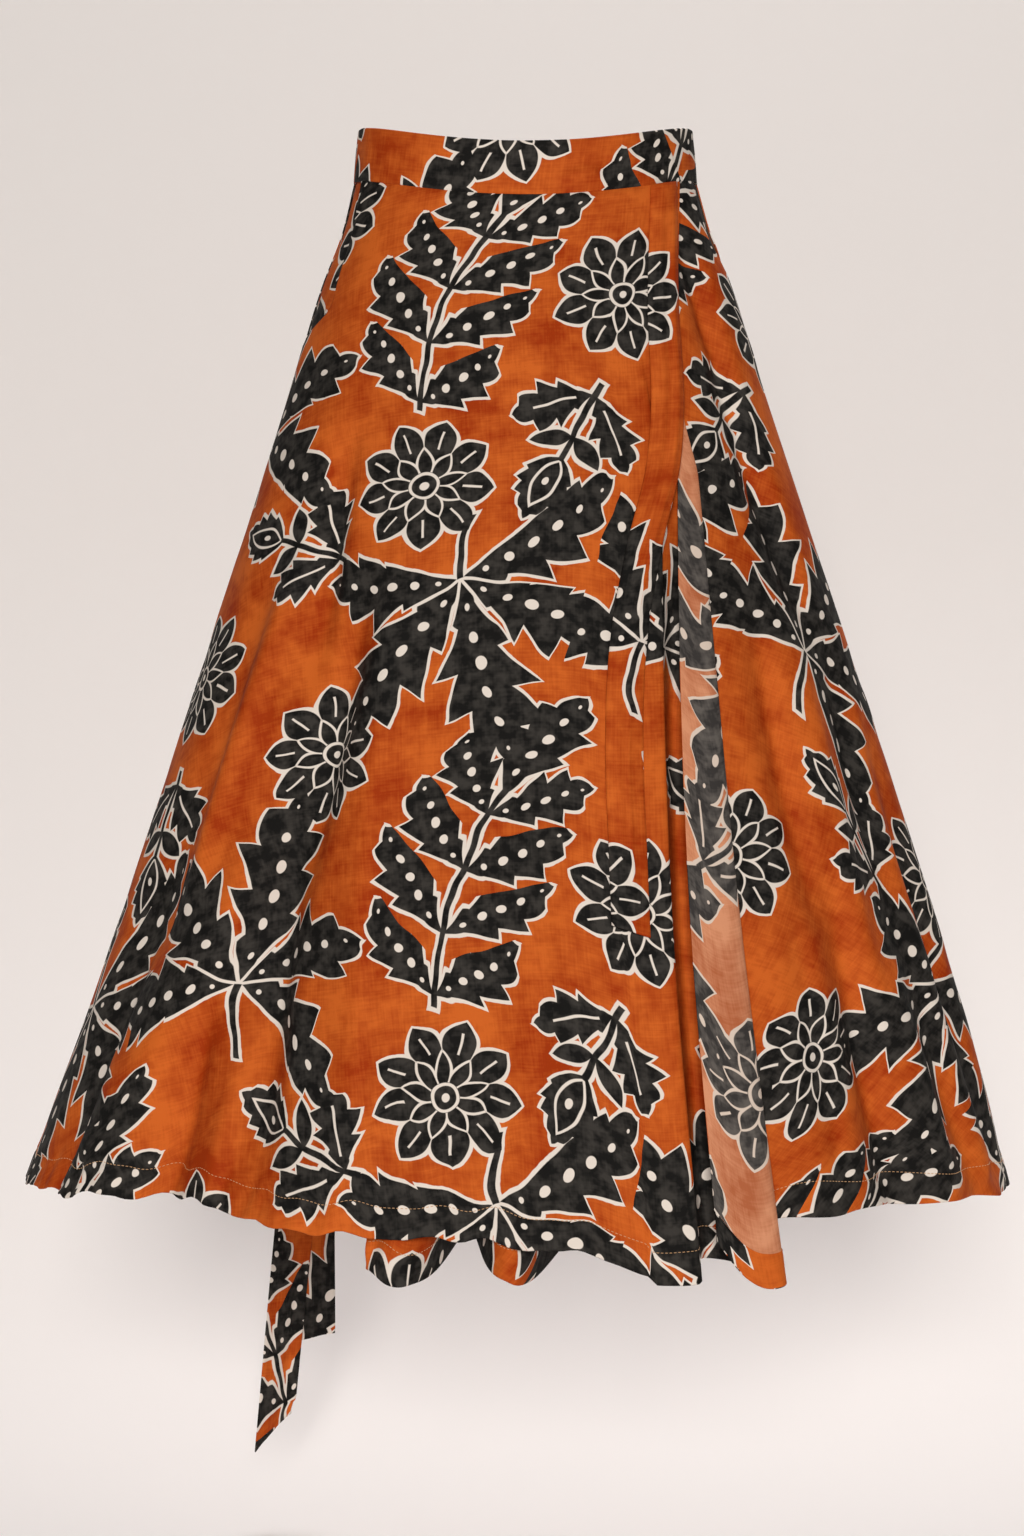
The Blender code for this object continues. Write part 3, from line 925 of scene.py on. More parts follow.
@dataclass(frozen=True, kw_only=True)
class FrontPanel(Panel):
    """The wrapping front: pocket mouth on one side, folded free edge on the other."""

    name: str = "front_panel"
    rests_on: str = "waistband_front"
    cut_at: Pair = (0.040, -0.020)
    columns: int = 150
    grain_column: int = 150
    hand_seed: int = 3
    hem_seed: int = 11
    edge_columns: int = 110
    hand_fades_over: float = 4.0
    edge_calm: float = 0.85
    calm_to: float = 0.30
    calm_fade: float = 0.06
    covers_to: float = 104.0
    cover_fade: float = 8.0
    mouth: tuple[MouthRow, ...] = table(
        MouthRow,
        (0, 20), (0.06, 24), (0.12, 27), (0.133, 26), (0.1455, 19.5), (0.158, 11),
        (0.17, 3), (0.178, 0),
    )
    hem: tuple[HemRow, ...] = table(
        HemRow,
        (0, 0), (30, -0.008), (52, -0.013), (66, 0), (85, 0.006), (97, 0.016),
        (103, 0.032), (108, 0.038),
    )
    creases: tuple[Crease, ...] = table(
        Crease,
        (47.5, 0.24, 51, 0.52, 0.016, -0.0132), (59.5, 0.38, 57, 0.76, 0.018, -0.0172),
        (50, 0.54, 62.5, 1, 0.019, -0.0172), (52, 0.6, 41, 0.9, 0.02, 0.0145),
        (45, 0.74, 48, 1.08, 0.018, -0.0172), (53.5, 0.8, 55, 1.08, 0.014, 0.0092),
        (36, 0.3, 33, 0.86, 0.02, -0.0132), (28.5, 0.58, 27, 1.07, 0.022, -0.0158),
        (40.5, 0.38, 38, 0.72, 0.017, 0.0106), (66, 0.34, 68.5, 0.8, 0.019, 0.0092),
        (69, 0.62, 73, 1.05, 0.019, 0.0106), (80, 0.64, 80, 1.04, 0.018, 0.0053),
        (90, 0.58, 92, 1.04, 0.016, 0.0053), (97, 0.04, 90, 0.24, 0.012, 0.0032),
    )

    def out(self, angle: Array, drop: Array) -> Array:
        """How far out the dressed face lies over the under panel's ring."""
        creases = FORM.creases(self.creases, angle, drop)
        return FORM.front_out(angle, drop) + creases + self.hand(angle, drop)

    def pressed(self, angle: Array, drop: Array) -> Array:
        """How far the troughs of the front press the layers behind it inwards."""
        covered = 1 - smooth_step((np.degrees(angle) - self.covers_to) / self.cover_fade)
        return covered * np.minimum(FORM.creases(self.creases, angle, drop), 0.0)

    def grid(self) -> Array:
        """The outer face: the front from its seam to the folds, then the folded edge,
        whose dressing fades out from the front.

        Returns:
            X, Y and Z along the last axis.
        """
        edge_angle, edge_drop, edge_out = FORM.folded_edge(HEM.rows(self.rows), self.edge_columns)
        share = np.linspace(0.0, 1.0, self.columns + 1)[:-1]
        drop = self.drops(np.degrees(share * edge_angle[-1, 0]))
        start = self.off_seam(0.0, drop)
        angle = start + share * (edge_angle[:, :1] - start)
        fade = 1 - smooth_step(np.linspace(0.0, self.hand_fades_over, self.edge_columns))
        dressed = self.out(edge_angle, edge_drop) - FORM.front_out(edge_angle, edge_drop)
        out = np.concatenate([self.out(angle, drop), edge_out + fade * dressed], axis=1)
        angle = np.concatenate([angle, edge_angle], axis=1)
        drop = np.concatenate([drop, edge_drop], axis=1)
        arc = lengths_along(FORM.ring(angle, drop, out), 1)
        calm = smooth_step((self.calm_to - arc[:, -1:] + arc) / self.calm_fade)
        return self.hemmed(angle, drop, out, arc, 1 - self.edge_calm * calm)


@dataclass(frozen=True, kw_only=True)
class UnderPanel(Panel):
    """The under layer, from its free edge under the front to the side seam."""

    front: FrontPanel
    name: str = "under_panel"
    rests_on: str = "waistband_under"
    cut_at: Pair = (0.150, 0.150)
    columns: int = 230
    grain_column: int = 0
    hand_seed: int = 23
    hem_seed: int = 21
    fluted_columns: float = 0.5
    fluted_width: float = 0.25
    shows_from: float = 118.0
    show_fade: float = 6.0
    mouth: tuple[MouthRow, ...] = table(
        MouthRow,
        (0, 14), (0.03, 17), (0.06, 15), (0.08, 10.5), (0.1, 5.5), (0.12, 1.5),
        (0.133, 0),
    )
    hem: tuple[HemRow, ...] = table(
        HemRow,
        (70, 0.026), (76, 0.035), (80.6, 0.036), (83.8, 0.012), (87, 0.03), (90, 0.036),
        (93, 0.032), (97, 0.014), (108, 0.012), (120, -0.002), (150, -0.001),
        (180, 0.004),
    )
    flutes: tuple[Fold, ...] = table(
        Fold,
        (77.8, 2.6, 0.007, 0.7), (83.9, 2.2, -0.036, 0.62), (89.3, 2.6, 0.008, 0.7),
        (96.2, 2.8, -0.03, 0.62),
    )
    creases: tuple[Crease, ...] = table(
        Crease,
        (146, 0.01, 147, 0.25, 0.013, -0.014), (145.5, 0.18, 152, 0.48, 0.015, -0.0155),
        (156, 0.44, 151, 0.78, 0.018, -0.0172), (134, 0.42, 131, 0.74, 0.015, -0.0119),
        (142, 0.4, 140, 0.86, 0.019, 0.0106), (136, 0.66, 138, 1.05, 0.018, -0.0145),
        (145, 0.74, 147, 1.05, 0.019, 0.0092), (152, 0.72, 155, 1.05, 0.018, -0.0158),
        (163, 0.52, 165, 1.03, 0.02, -0.0132), (127, 0.7, 128, 1.03, 0.012, -0.0066),
    )

    def out(self, angle: Array, drop: Array) -> Array:
        """How far out the dressed face lies over the rings: with its own creases where it
        shows, pressed in by the front's troughs where it is covered.

        Args:
            angle, drop: places on the skirt.

        Returns:
            The height at each place.
        """
        shows = smooth_step((np.degrees(angle) - self.shows_from) / self.show_fade)
        dressing = self.hand(angle, drop) + FORM.creases(self.creases, angle, drop)
        pushed = self.front.pressed(angle, drop) + FORM.recess(angle, drop)
        folds = FORM.folds(FORM.under_folds + self.flutes, angle, drop)
        return folds + shows * dressing + pushed

    def grid(self) -> Array:
        """The outer face, on the rings themselves with the under folds. Its columns lie
        closer where it is fluted.

        Returns:
            X, Y and Z along the last axis.
        """
        share = np.linspace(0.0, 1.0, self.columns + 1)
        share = np.interp(share, (0.0, self.fluted_columns, 1.0), (0.0, self.fluted_width, 1.0))
        hem_start = FORM.front_angle(FORM.wrap[-1].under_edge_x, 1.0)
        drop = self.drops(np.degrees(hem_start + share * (math.pi - hem_start)))
        start = FORM.front_angle(through(FORM.wrap, "under_edge_x", drop), drop)
        angle = start + share * (math.pi - self.off_seam(math.pi, drop) - start)
        arc = angle * FORM.speed(angle, drop)
        return self.hemmed(angle, drop, self.out(angle, drop), arc, np.ones_like(arc))


@dataclass(frozen=True, kw_only=True)
class BackPanel(Panel):
    """The back, from side seam to side seam."""

    name: str = "back_panel"
    rests_on: str = "waistband_back"
    cut_at: Pair = (0.090, 0.050)
    columns: int = 250
    grain_column: int = 125
    hand_seed: int = 33
    hem_seed: int = 31
    uneven: float = 0.0009
    smooth_from: float = 296.0
    smooth_fade: float = 6.0
    hem: tuple[HemRow, ...] = table(
        HemRow, (180, 0.004), (225, -0.004), (270, 0.004), (315, -0.004), (360, 0.000)
    )
    creases: tuple[Crease, ...] = table(
        Crease,
        (203, 0.34, 200, 0.92, 0.019, -0.01), (214, 0.22, 218, 0.66, 0.016, 0.007),
        (226, 0.52, 222, 1.04, 0.019, -0.012), (237, 0.28, 240, 0.84, 0.018, -0.009),
        (247, 0.6, 246, 1.05, 0.018, 0.008), (256, 0.32, 252, 0.8, 0.017, -0.01),
        (266, 0.55, 269, 1.04, 0.018, -0.011), (277, 0.3, 274, 0.72, 0.015, 0.007),
        (286, 0.58, 290, 1.04, 0.018, -0.011),
    )

    def rough(self, angle: Array) -> Array:
        """1 where the back is creased, and 0 behind the ties, where it lies smooth."""
        return 1 - smooth_step((np.degrees(angle) - self.smooth_from) / self.smooth_fade)

    def folds_out(self, angle: Array, drop: Array) -> Array:
        """The face's height over its ring, without the slight hand of the cloth."""
        creases = FORM.creases(self.creases, angle, drop)
        return FORM.folds(FORM.back_folds, angle, drop) + self.rough(angle) * creases

    def grid(self) -> Array:
        """The outer face, on the rings themselves with the back's folds.

        Returns:
            X, Y and Z along the last axis.
        """
        share = np.linspace(0.0, 1.0, self.columns + 1)
        drop = self.drops(180.0 + 180.0 * share)
        inset = self.off_seam(math.pi, drop)
        angle = math.pi + inset + share * (math.pi - 2 * inset)
        arc = angle * FORM.speed(angle, drop)
        out = self.folds_out(angle, drop) + self.rough(angle) * self.hand(angle, drop)
        return self.hemmed(angle, drop, out, arc, np.ones_like(arc))


@dataclass(frozen=True)
class SidePocket:
    """Facing and bag of a side pocket: one layer close behind the panel with its mouth."""

    name: str
    panel: FrontPanel | UnderPanel
    mirrored: bool
    cut_at: Pair
    rows: int = 70
    columns: int = 50
    clearance: float = 0.0022
    depth: float = 0.29
    inner_x: float = 0.088
    corner: float = 0.05
    rounding: float = 0.035

    def build(self, finishes: Finishes) -> bpy.types.Object:
        """Builds the pocket. Its lower inner corner is rounded off: the inner edge moves
        by the square of the share of the corner's height.

        Args:
            finishes: the cloth and the thread.

        Returns:
            The pocket.
        """
        columns = np.linspace(0.0, 1.0, self.columns + 1)
        drop = np.linspace(0.0, 1.0, self.rows + 1)[:, None] * self.depth * np.ones_like(columns)
        rounded = np.clip(1 - (self.depth - drop) / self.corner, 0.0, 1.0) ** 2
        inner = FORM.front_angle(-self.inner_x - self.rounding * rounded, drop)
        angle = SEAM_GAP / FORM.speed(0.0, drop) + columns * inner
        angle = math.pi - angle[:, ::-1] if self.mirrored else angle
        points = FORM.ring(angle, drop, self.panel.out(angle, drop) - self.clearance)
        cut = CutPiece(self.name, points, CLOTH_WALL, self.cut_at)
        return cut.sew(finishes, self.panel.rests_on)


# ---------------- waistband and ties


@dataclass(frozen=True)
class Waistband:
    """A stretch of the doubled contour waistband between two angles, in degrees, each
    given at its top and at its seam."""

    name: str
    start: Pair
    end: Pair
    over: float
    ripple_seed: int
    cut_at: Pair
    creases: tuple[Crease, ...] = ()
    rows: int = 18
    columns: int = 170
    wall: float = 0.0022
    top_take_in: float = 0.0037
    over_by: float = 40.0
    uneven: float = 0.0004
    ripple_length: float = 0.05

    def build(self, finishes: Finishes) -> bpy.types.Object:
        """Builds the band: both edges lie on ovals, and the top one is smaller by the
        take in. Its slack fades out at both edges as the sine of half a turn, and its
        gathers as the root of that.

        Args:
            finishes: the cloth and the thread.

        Returns:
            The band.
        """
        share = np.linspace(0.0, 1.0, self.columns + 1)
        rows = np.linspace(0.0, 1.0, self.rows + 1)[:, None]
        left = self.start[0] + rows * (self.start[1] - self.start[0])
        right = self.end[0] + rows * (self.end[1] - self.end[0])
        angle = np.radians(left + share * (right - left))
        waist, take_in = FORM.rings[0], self.top_take_in * (1 - rows)
        inside = np.sin(math.pi * rows)
        arc = angle * FORM.speed(angle, 0.0 * rows)
        out = self.over * smooth_step(np.degrees(angle) / self.over_by)
        out = out + self.uneven * inside * waves(arc, self.ripple_length, self.ripple_seed)
        drop = (rows - 1) * FORM.band_height / FORM.hem_level
        out = out + np.sqrt(inside) * FORM.creases(self.creases, angle, drop)
        x, y = FORM.oval(angle, waist.width - take_in, waist.front - take_in, out)
        z = FORM.band_height * (0.5 - rows) - FORM.dip(angle)
        points = np.stack([x + waist.sway, y, z], axis=-1)
        right = Side.RIGHT
        cut = CutPiece(self.name, points, self.wall, self.cut_at, flared=False, inside=right)
        return cut.sew(finishes, "waist_hold")


@dataclass(frozen=True, kw_only=True)
class Tie:
    """What the ties share: a doubled strip that arches across its width and keeps two
    soft lengthwise pleats, which drift from side to side on the way down."""

    name: str
    rests_on: str
    cut_at: Pair
    width: float
    rows: int
    columns: int
    middle: tuple[TieRow, ...]
    end_slant: float
    arch: float
    clearance: float
    extra_clearance: float
    pleats: tuple[Pleat, ...]
    gap_growth: float = 3.0
    wall: float = 0.0014

    def across(self) -> Array:
        """Shares of the width, from -1/2 to 1/2."""
        return np.linspace(-0.5, 0.5, self.columns + 1)

    def off(self, drop: Array) -> Array:
        """How far the face stands off the panel: its wall, a gap that grows on the way
        down, and the arch, which falls off as 1 - 4s^2 with the share of the width."""
        gap = self.clearance + self.extra_clearance * np.minimum(self.gap_growth * drop, 1.0)
        return self.wall + gap + self.arch * (1 - (2 * self.across()) ** 2)

    def pleated(self, drift: Array) -> Array:
        """The pleats' height, when they have drifted by this share of the width."""
        away = self.across() - drift
        return sum(row.height * bump((away - row.at) / row.half_width) for row in self.pleats)

    def sew(self, points: Array, finishes: Finishes) -> bpy.types.Object:
        """Sews the tie as a straight strip with the print's right side on both faces.

        Args:
            points: the tie's outer face.
            finishes: the cloth and the thread.

        Returns:
            The tie.
        """
        grain, right = self.columns // 2, Side.RIGHT
        cut = CutPiece(self.name, points, self.wall, self.cut_at, grain, flared=False, inside=right)
        return cut.sew(finishes, self.rests_on)


@dataclass(frozen=True, kw_only=True)
class FrontTie(Tie):
    """The tie that hangs from the waist seam beside the free edge, over the front."""

    front: FrontPanel
    name: str = "tie_front"
    rests_on: str = "waistband_front"
    cut_at: Pair = (0.092, 0.490)
    width: float = 0.027
    rows: int = 190
    columns: int = 16
    end_slant: float = 0.010
    arch: float = 0.0035
    clearance: float = 0.0009
    extra_clearance: float = 0.0014
    drift: float = 0.12
    drift_turn: float = 5.0
    drift_phase: float = 0.6
    slant_power: int = 8
    pleats_grow_over: float = 0.12
    pleats: tuple[Pleat, ...] = table(Pleat, (0.16, 0.10, 0.0016), (-0.10, 0.11, -0.0013))
    middle: tuple[TieRow, ...] = table(
        TieRow,
        (0, 0.1095), (0.126, 0.1065), (0.227, 0.107), (0.279, 0.103), (0.355, 0.0885),
        (0.433, 0.0765), (0.556, 0.0705), (0.657, 0.0725), (0.722, 0.074),
    )

    def build(self, finishes: Finishes) -> bpy.types.Object:
        """Builds the tie, which follows the front. The slant of its end grows as a high
        power of the share of the way down.

        Args:
            finishes: the cloth and the thread.

        Returns:
            The tie.
        """
        across = self.across()
        down = np.linspace(0.0, 1.0, self.rows + 1)[:, None]
        slant = self.end_slant / FORM.hem_level * down**self.slant_power * (across + 0.5)
        drop = self.middle[-1].at * down + slant
        middle = FORM.front_angle(through(self.middle, "x", drop), drop)
        angle = middle + across * self.width / FORM.speed(middle, drop)
        drift = self.drift * np.sin(self.drift_turn * down + self.drift_phase)
        pleats = self.pleated(drift) * smooth_step(down / self.pleats_grow_over)
        out = self.front.out(angle, drop) + self.off(drop) + pleats
        return self.sew(FORM.ring(angle, drop, out), finishes)


@dataclass(frozen=True, kw_only=True)
class BackTie(Tie):
    """A tie that hangs from the waist seam down the outside of the back and below it."""

    back: BackPanel
    lift: float
    rests_on: str = "waistband_back"
    width: float = 0.038
    rows: int = 150
    columns: int = 18
    arch: float = 0.0015
    clearance: float = 0.0010
    extra_clearance: float = 0.0022
    end_rows: int = 60
    point: float = 0.050
    lift_drop: float = 0.06
    drift: float = 0.1
    drift_turn: float = 14.0
    pleats_above_hem: float = 0.02
    pleats_grow_over: float = 0.09
    pleats: tuple[Pleat, ...] = table(Pleat, (0.12, 0.13, 0.0020), (-0.20, 0.12, -0.0018))

    def build(self, finishes: Finishes) -> bpy.types.Object:
        """Builds the tie: it follows the back's folds as far as the hem and hangs freely
        below it, to a slanted end.

        Args:
            finishes: the cloth and the thread.

        Returns:
            The tie.
        """
        across = self.across()
        on_skirt = np.linspace(self.middle[0].at, FORM.hem_level, self.rows + 1)
        below = np.linspace(FORM.hem_level, self.middle[-1].at, self.end_rows + 1)
        depth = np.concatenate([on_skirt, below[1:]])[:, None]
        drop = np.minimum(FORM.drop_at(0.0, depth), 1.0) * np.ones_like(across)
        middle = math.tau - FORM.front_angle(through(self.middle, "x", depth), drop)
        angle = middle - across * self.width / FORM.speed(middle, drop)
        lifted = self.off(drop) + self.lift * smooth_step(drop / self.lift_drop)
        points = FORM.ring(angle, drop, self.back.folds_out(angle, drop) + lifted)
        end = smooth_step(1 - (self.middle[-1].at - depth) / self.point)
        points[..., 2] = -depth + self.end_slant * end * (across + 0.5)
        free = depth - FORM.hem_level + self.pleats_above_hem
        drift = self.drift * np.sin(self.drift_turn * depth)
        points[..., 1] += smooth_step(free / self.pleats_grow_over) * self.pleated(drift)
        return self.sew(points[:, ::-1], finishes)


# ---------------- print and finishes


def paint(code: str) -> tuple[float, float, float, float]:
    """A colour from its sRGB hex code, turned linear.

    Args:
        code: six hex digits after a hash.

    Returns:
        Linear red, green and blue, and 1 for opaque.
    """
    parts = [int(code[k : k + 2], 16) / 255 for k in (1, 3, 5)]
    linear = [v / 12.92 if v <= 0.04045 else ((v + 0.055) / 1.055) ** 2.4 for v in parts]
    return linear[0], linear[1], linear[2], 1.0


def new_material(name: str, roughness: float) -> tuple[bpy.types.Material, bpy.types.Node]:
    """A new material with its shader.

    Args:
        name: what the material is and how it was made.
        roughness: how widely its surface scatters a highlight, 0 to 1.

    Returns:
        The material and its shader's node.
    """
    material = bpy.data.materials.new(name)
    material.use_nodes = True
    shader = material.node_tree.nodes["Principled BSDF"]
    shader.inputs["Roughness"].default_value = roughness
    return material, shader


def add_node(
    tree: bpy.types.NodeTree,
    kind: str,
    settings: dict[str, Any] | None = None,
    inputs: dict[int | str, Any] | None = None,
) -> bpy.types.Node:
    """Adds a node with its settings and links.

    Args:
        tree: the material's node tree.
        kind: the node's type.
        settings: values of the node's own properties.
        inputs: for each input a socket or a Field to link, or a value to set.

    Returns:
        The node.
    """
    node = tree.nodes.new(kind)
    for name, value in (settings or {}).items():
        setattr(node, name, value)
    for name, value in (inputs or {}).items():
        value = value.socket if isinstance(value, Field) else value
        if isinstance(value, bpy.types.NodeSocket):
            tree.links.new(value, node.inputs[name])
        else:
            node.inputs[name].default_value = value
    return node


@dataclass(frozen=True)
class Field:
    """A number that varies over the cloth. Arithmetic on it builds the node tree."""

    tree: bpy.types.NodeTree
    socket: bpy.types.NodeSocket

    def worked(self, operation: str, *numbers: Any) -> "Field":
        """Adds one step of arithmetic.

        Args:
            operation: the maths node's name for it.
            numbers: what it works on, or nothing for this number itself.

        Returns:
            The result.
        """
        inputs = dict(enumerate(numbers or (self,)))
        node = add_node(self.tree, "ShaderNodeMath", {"operation": operation}, inputs)
        return Field(self.tree, node.outputs[0])

    def __add__(self, other: Any) -> "Field":
        """Sum."""
        return self.worked("ADD", self, other)

    def __sub__(self, other: Any) -> "Field":
        """Difference."""
        return self.worked("SUBTRACT", self, other)

    def __rsub__(self, other: Any) -> "Field":
        """Difference from another number."""
        return self.worked("SUBTRACT", other, self)

    def __mul__(self, other: Any) -> "Field":
        """Product."""
        return self.worked("MULTIPLY", self, other)

    def __abs__(self) -> "Field":
        """Size without sign."""
        return self.worked("ABSOLUTE")

    def least(self, other: Any) -> "Field":
        """The smaller of two numbers."""
        return self.worked("MINIMUM", self, other)

    def most(self, other: Any) -> "Field":
        """The larger of two numbers."""
        return self.worked("MAXIMUM", self, other)

    def held(self, low: float, high: float) -> "Field":
        """This number held between two limits."""
        return self.most(low).least(high)

    def wrapped(self, half: float) -> "Field":
        """This number wrapped into -half to half."""
        return self.worked("WRAP", self, half, -half)

    def over(self, limit: Any) -> "Field":
        """1 where this number is above the limit, and 0 elsewhere."""
        return self.worked("GREATER_THAN", self, limit)

    def hypot(self, other: "Field") -> "Field":
        """The length of the line whose sides are this number and the other."""
        return (self * self + other * other).worked("SQRT")

    def inside(self, soft: float) -> "Field":
        """1 where this distance is negative, 0 where it is positive, and soft between."""
        return (0.5 - self * (1 / soft)).held(0.0, 1.0)


class Spot(NamedTuple):
    """A place on the cloth as seen from a motif, in millimetres."""

    x: Field
    y: Field

    def turned(self, degrees: float) -> "Spot":
        """The same place seen from a turned motif, (x cos a - y sin a, x sin a + y cos a).

        Args:
            degrees: how far the motif is turned clockwise, the angle a.

        Returns:
            The place.
        """
        c, s = math.cos(math.radians(degrees)), math.sin(math.radians(degrees))
        across = self.y.worked("MULTIPLY_ADD", self.y, -s, self.x * c)
        return Spot(across, self.x.worked("MULTIPLY_ADD", self.x, s, self.y * c))

    def nearer(self, other: "Spot") -> "Spot":
        """The spot that lies nearer to its motif's middle.

        Args:
            other: the same place as seen from another motif.

        Returns:
            This spot or the other.
        """
        take = self.x.hypot(self.y).over(other.x.hypot(other.y))
        x, y = (take.worked("MULTIPLY_ADD", take, b - a, a) for a, b in zip(self, other))
        return Spot(x, y)

    def polar(self) -> tuple[Field, Field]:
        """Its angle away from straight up and its distance from the motif's middle."""
        return self.x.worked("ARCTAN2", self.x, self.y), self.x.hypot(self.y)


def from_polar(angle: Field, reach: Field) -> Spot:
    """The spot at this angle away from straight up and this distance."""
    return Spot(reach * angle.worked("SINE"), reach * angle.worked("COSINE"))


class Drawn(NamedTuple):
    """A drawn motif: distances to its dark shape and to the pale marks on it, each
    negative inside, in millimetres."""

    shape: Field
    marks: Field

    def joined(self, other: "Drawn") -> "Drawn":
        """Both motifs together."""
        return Drawn(self.shape.least(other.shape), self.marks.least(other.marks))


class Place(NamedTuple):
    """Where a motif stands in the repeat, in millimetres, and how far it is turned."""

    x: float
    y: float
    degrees: float
    mirrored: bool = False


@dataclass(frozen=True)
class Leaf:
    """A toothed leaf: its size, how many teeth a side has and how far they stand out as
    a share of its half width, how it bends, and how much broader its outer half is."""

    length: float
    half: float
    teeth: float
    tooth: float
    bend: float = 0.0
    tail: float = 1.0
    barb: float = 0.014
    tooth_rise: float = 0.80
    tooth_middle: float = 0.35
    other_side_lag: float = 0.45
    past_ends: float = 0.3
    slope: float = 0.9
    dot_shape: Pair = (1.15, 0.85)

    def drawn(self, spot: Spot, bend: Field | None = None) -> tuple[Field, Spot]:
        """The leaf growing up from the spot's middle.

        With t the share of its length, its half width is 4t(1-t) times a slope that
        rises towards the tip, plus a saw tooth that rises slowly and falls back quickly.
        The teeth lean towards the tip, because their phase lags away from the middle.

        Args:
            spot: the place as seen from the leaf's foot.
            bend: how far its tip is bent sideways, as a share of the length.

        Returns:
            Distance to the leaf, and the spot on its straightened middle line.
        """
        x, t = spot.x, spot.y * (1 / self.length)
        if bend is not None or self.bend:
            x = x - spot.y * t * (self.bend if bend is None else bend)
        side = abs(x)
        h = t.held(-self.past_ends, 1 + self.past_ends)
        hill = (h - h * h) * 4
        edge = (h * self.tail + 1) * (self.half / (1 + self.tail / 2))
        if self.tooth:
            lag = x.over(0.0) * self.other_side_lag
            phase = (t * self.teeth - side * self.barb + lag).worked("FRACT")
            fall = (1 - phase) * (1 / (1 - self.tooth_rise))
            saw = (phase * (1 / self.tooth_rise)).least(fall)
            edge = edge + h * (saw - self.tooth_middle) * self.tooth
        return (side - hill * edge) * self.slope, Spot(x, spot.y)

    def dots(self, spot: Spot, every: float, radius: float) -> Field:
        """A row of oval dots up the leaf, smaller towards both ends.

        Args:
            spot: the place on the leaf's straightened middle line.
            every: how far apart the dots are.
            radius: of a dot in the middle.

        Returns:
            Distance to the nearest dot.
        """
        last = float(round(self.length / every) - 1)
        k = (spot.y * (1 / every)).worked("ROUND").held(1.0, last)
        share = k * (every / self.length)
        size = (share - share * share) * (4 * radius)
        x, y = spot.x * self.dot_shape[0], (spot.y - k * every) * self.dot_shape[1]
        return x.hypot(y) - size


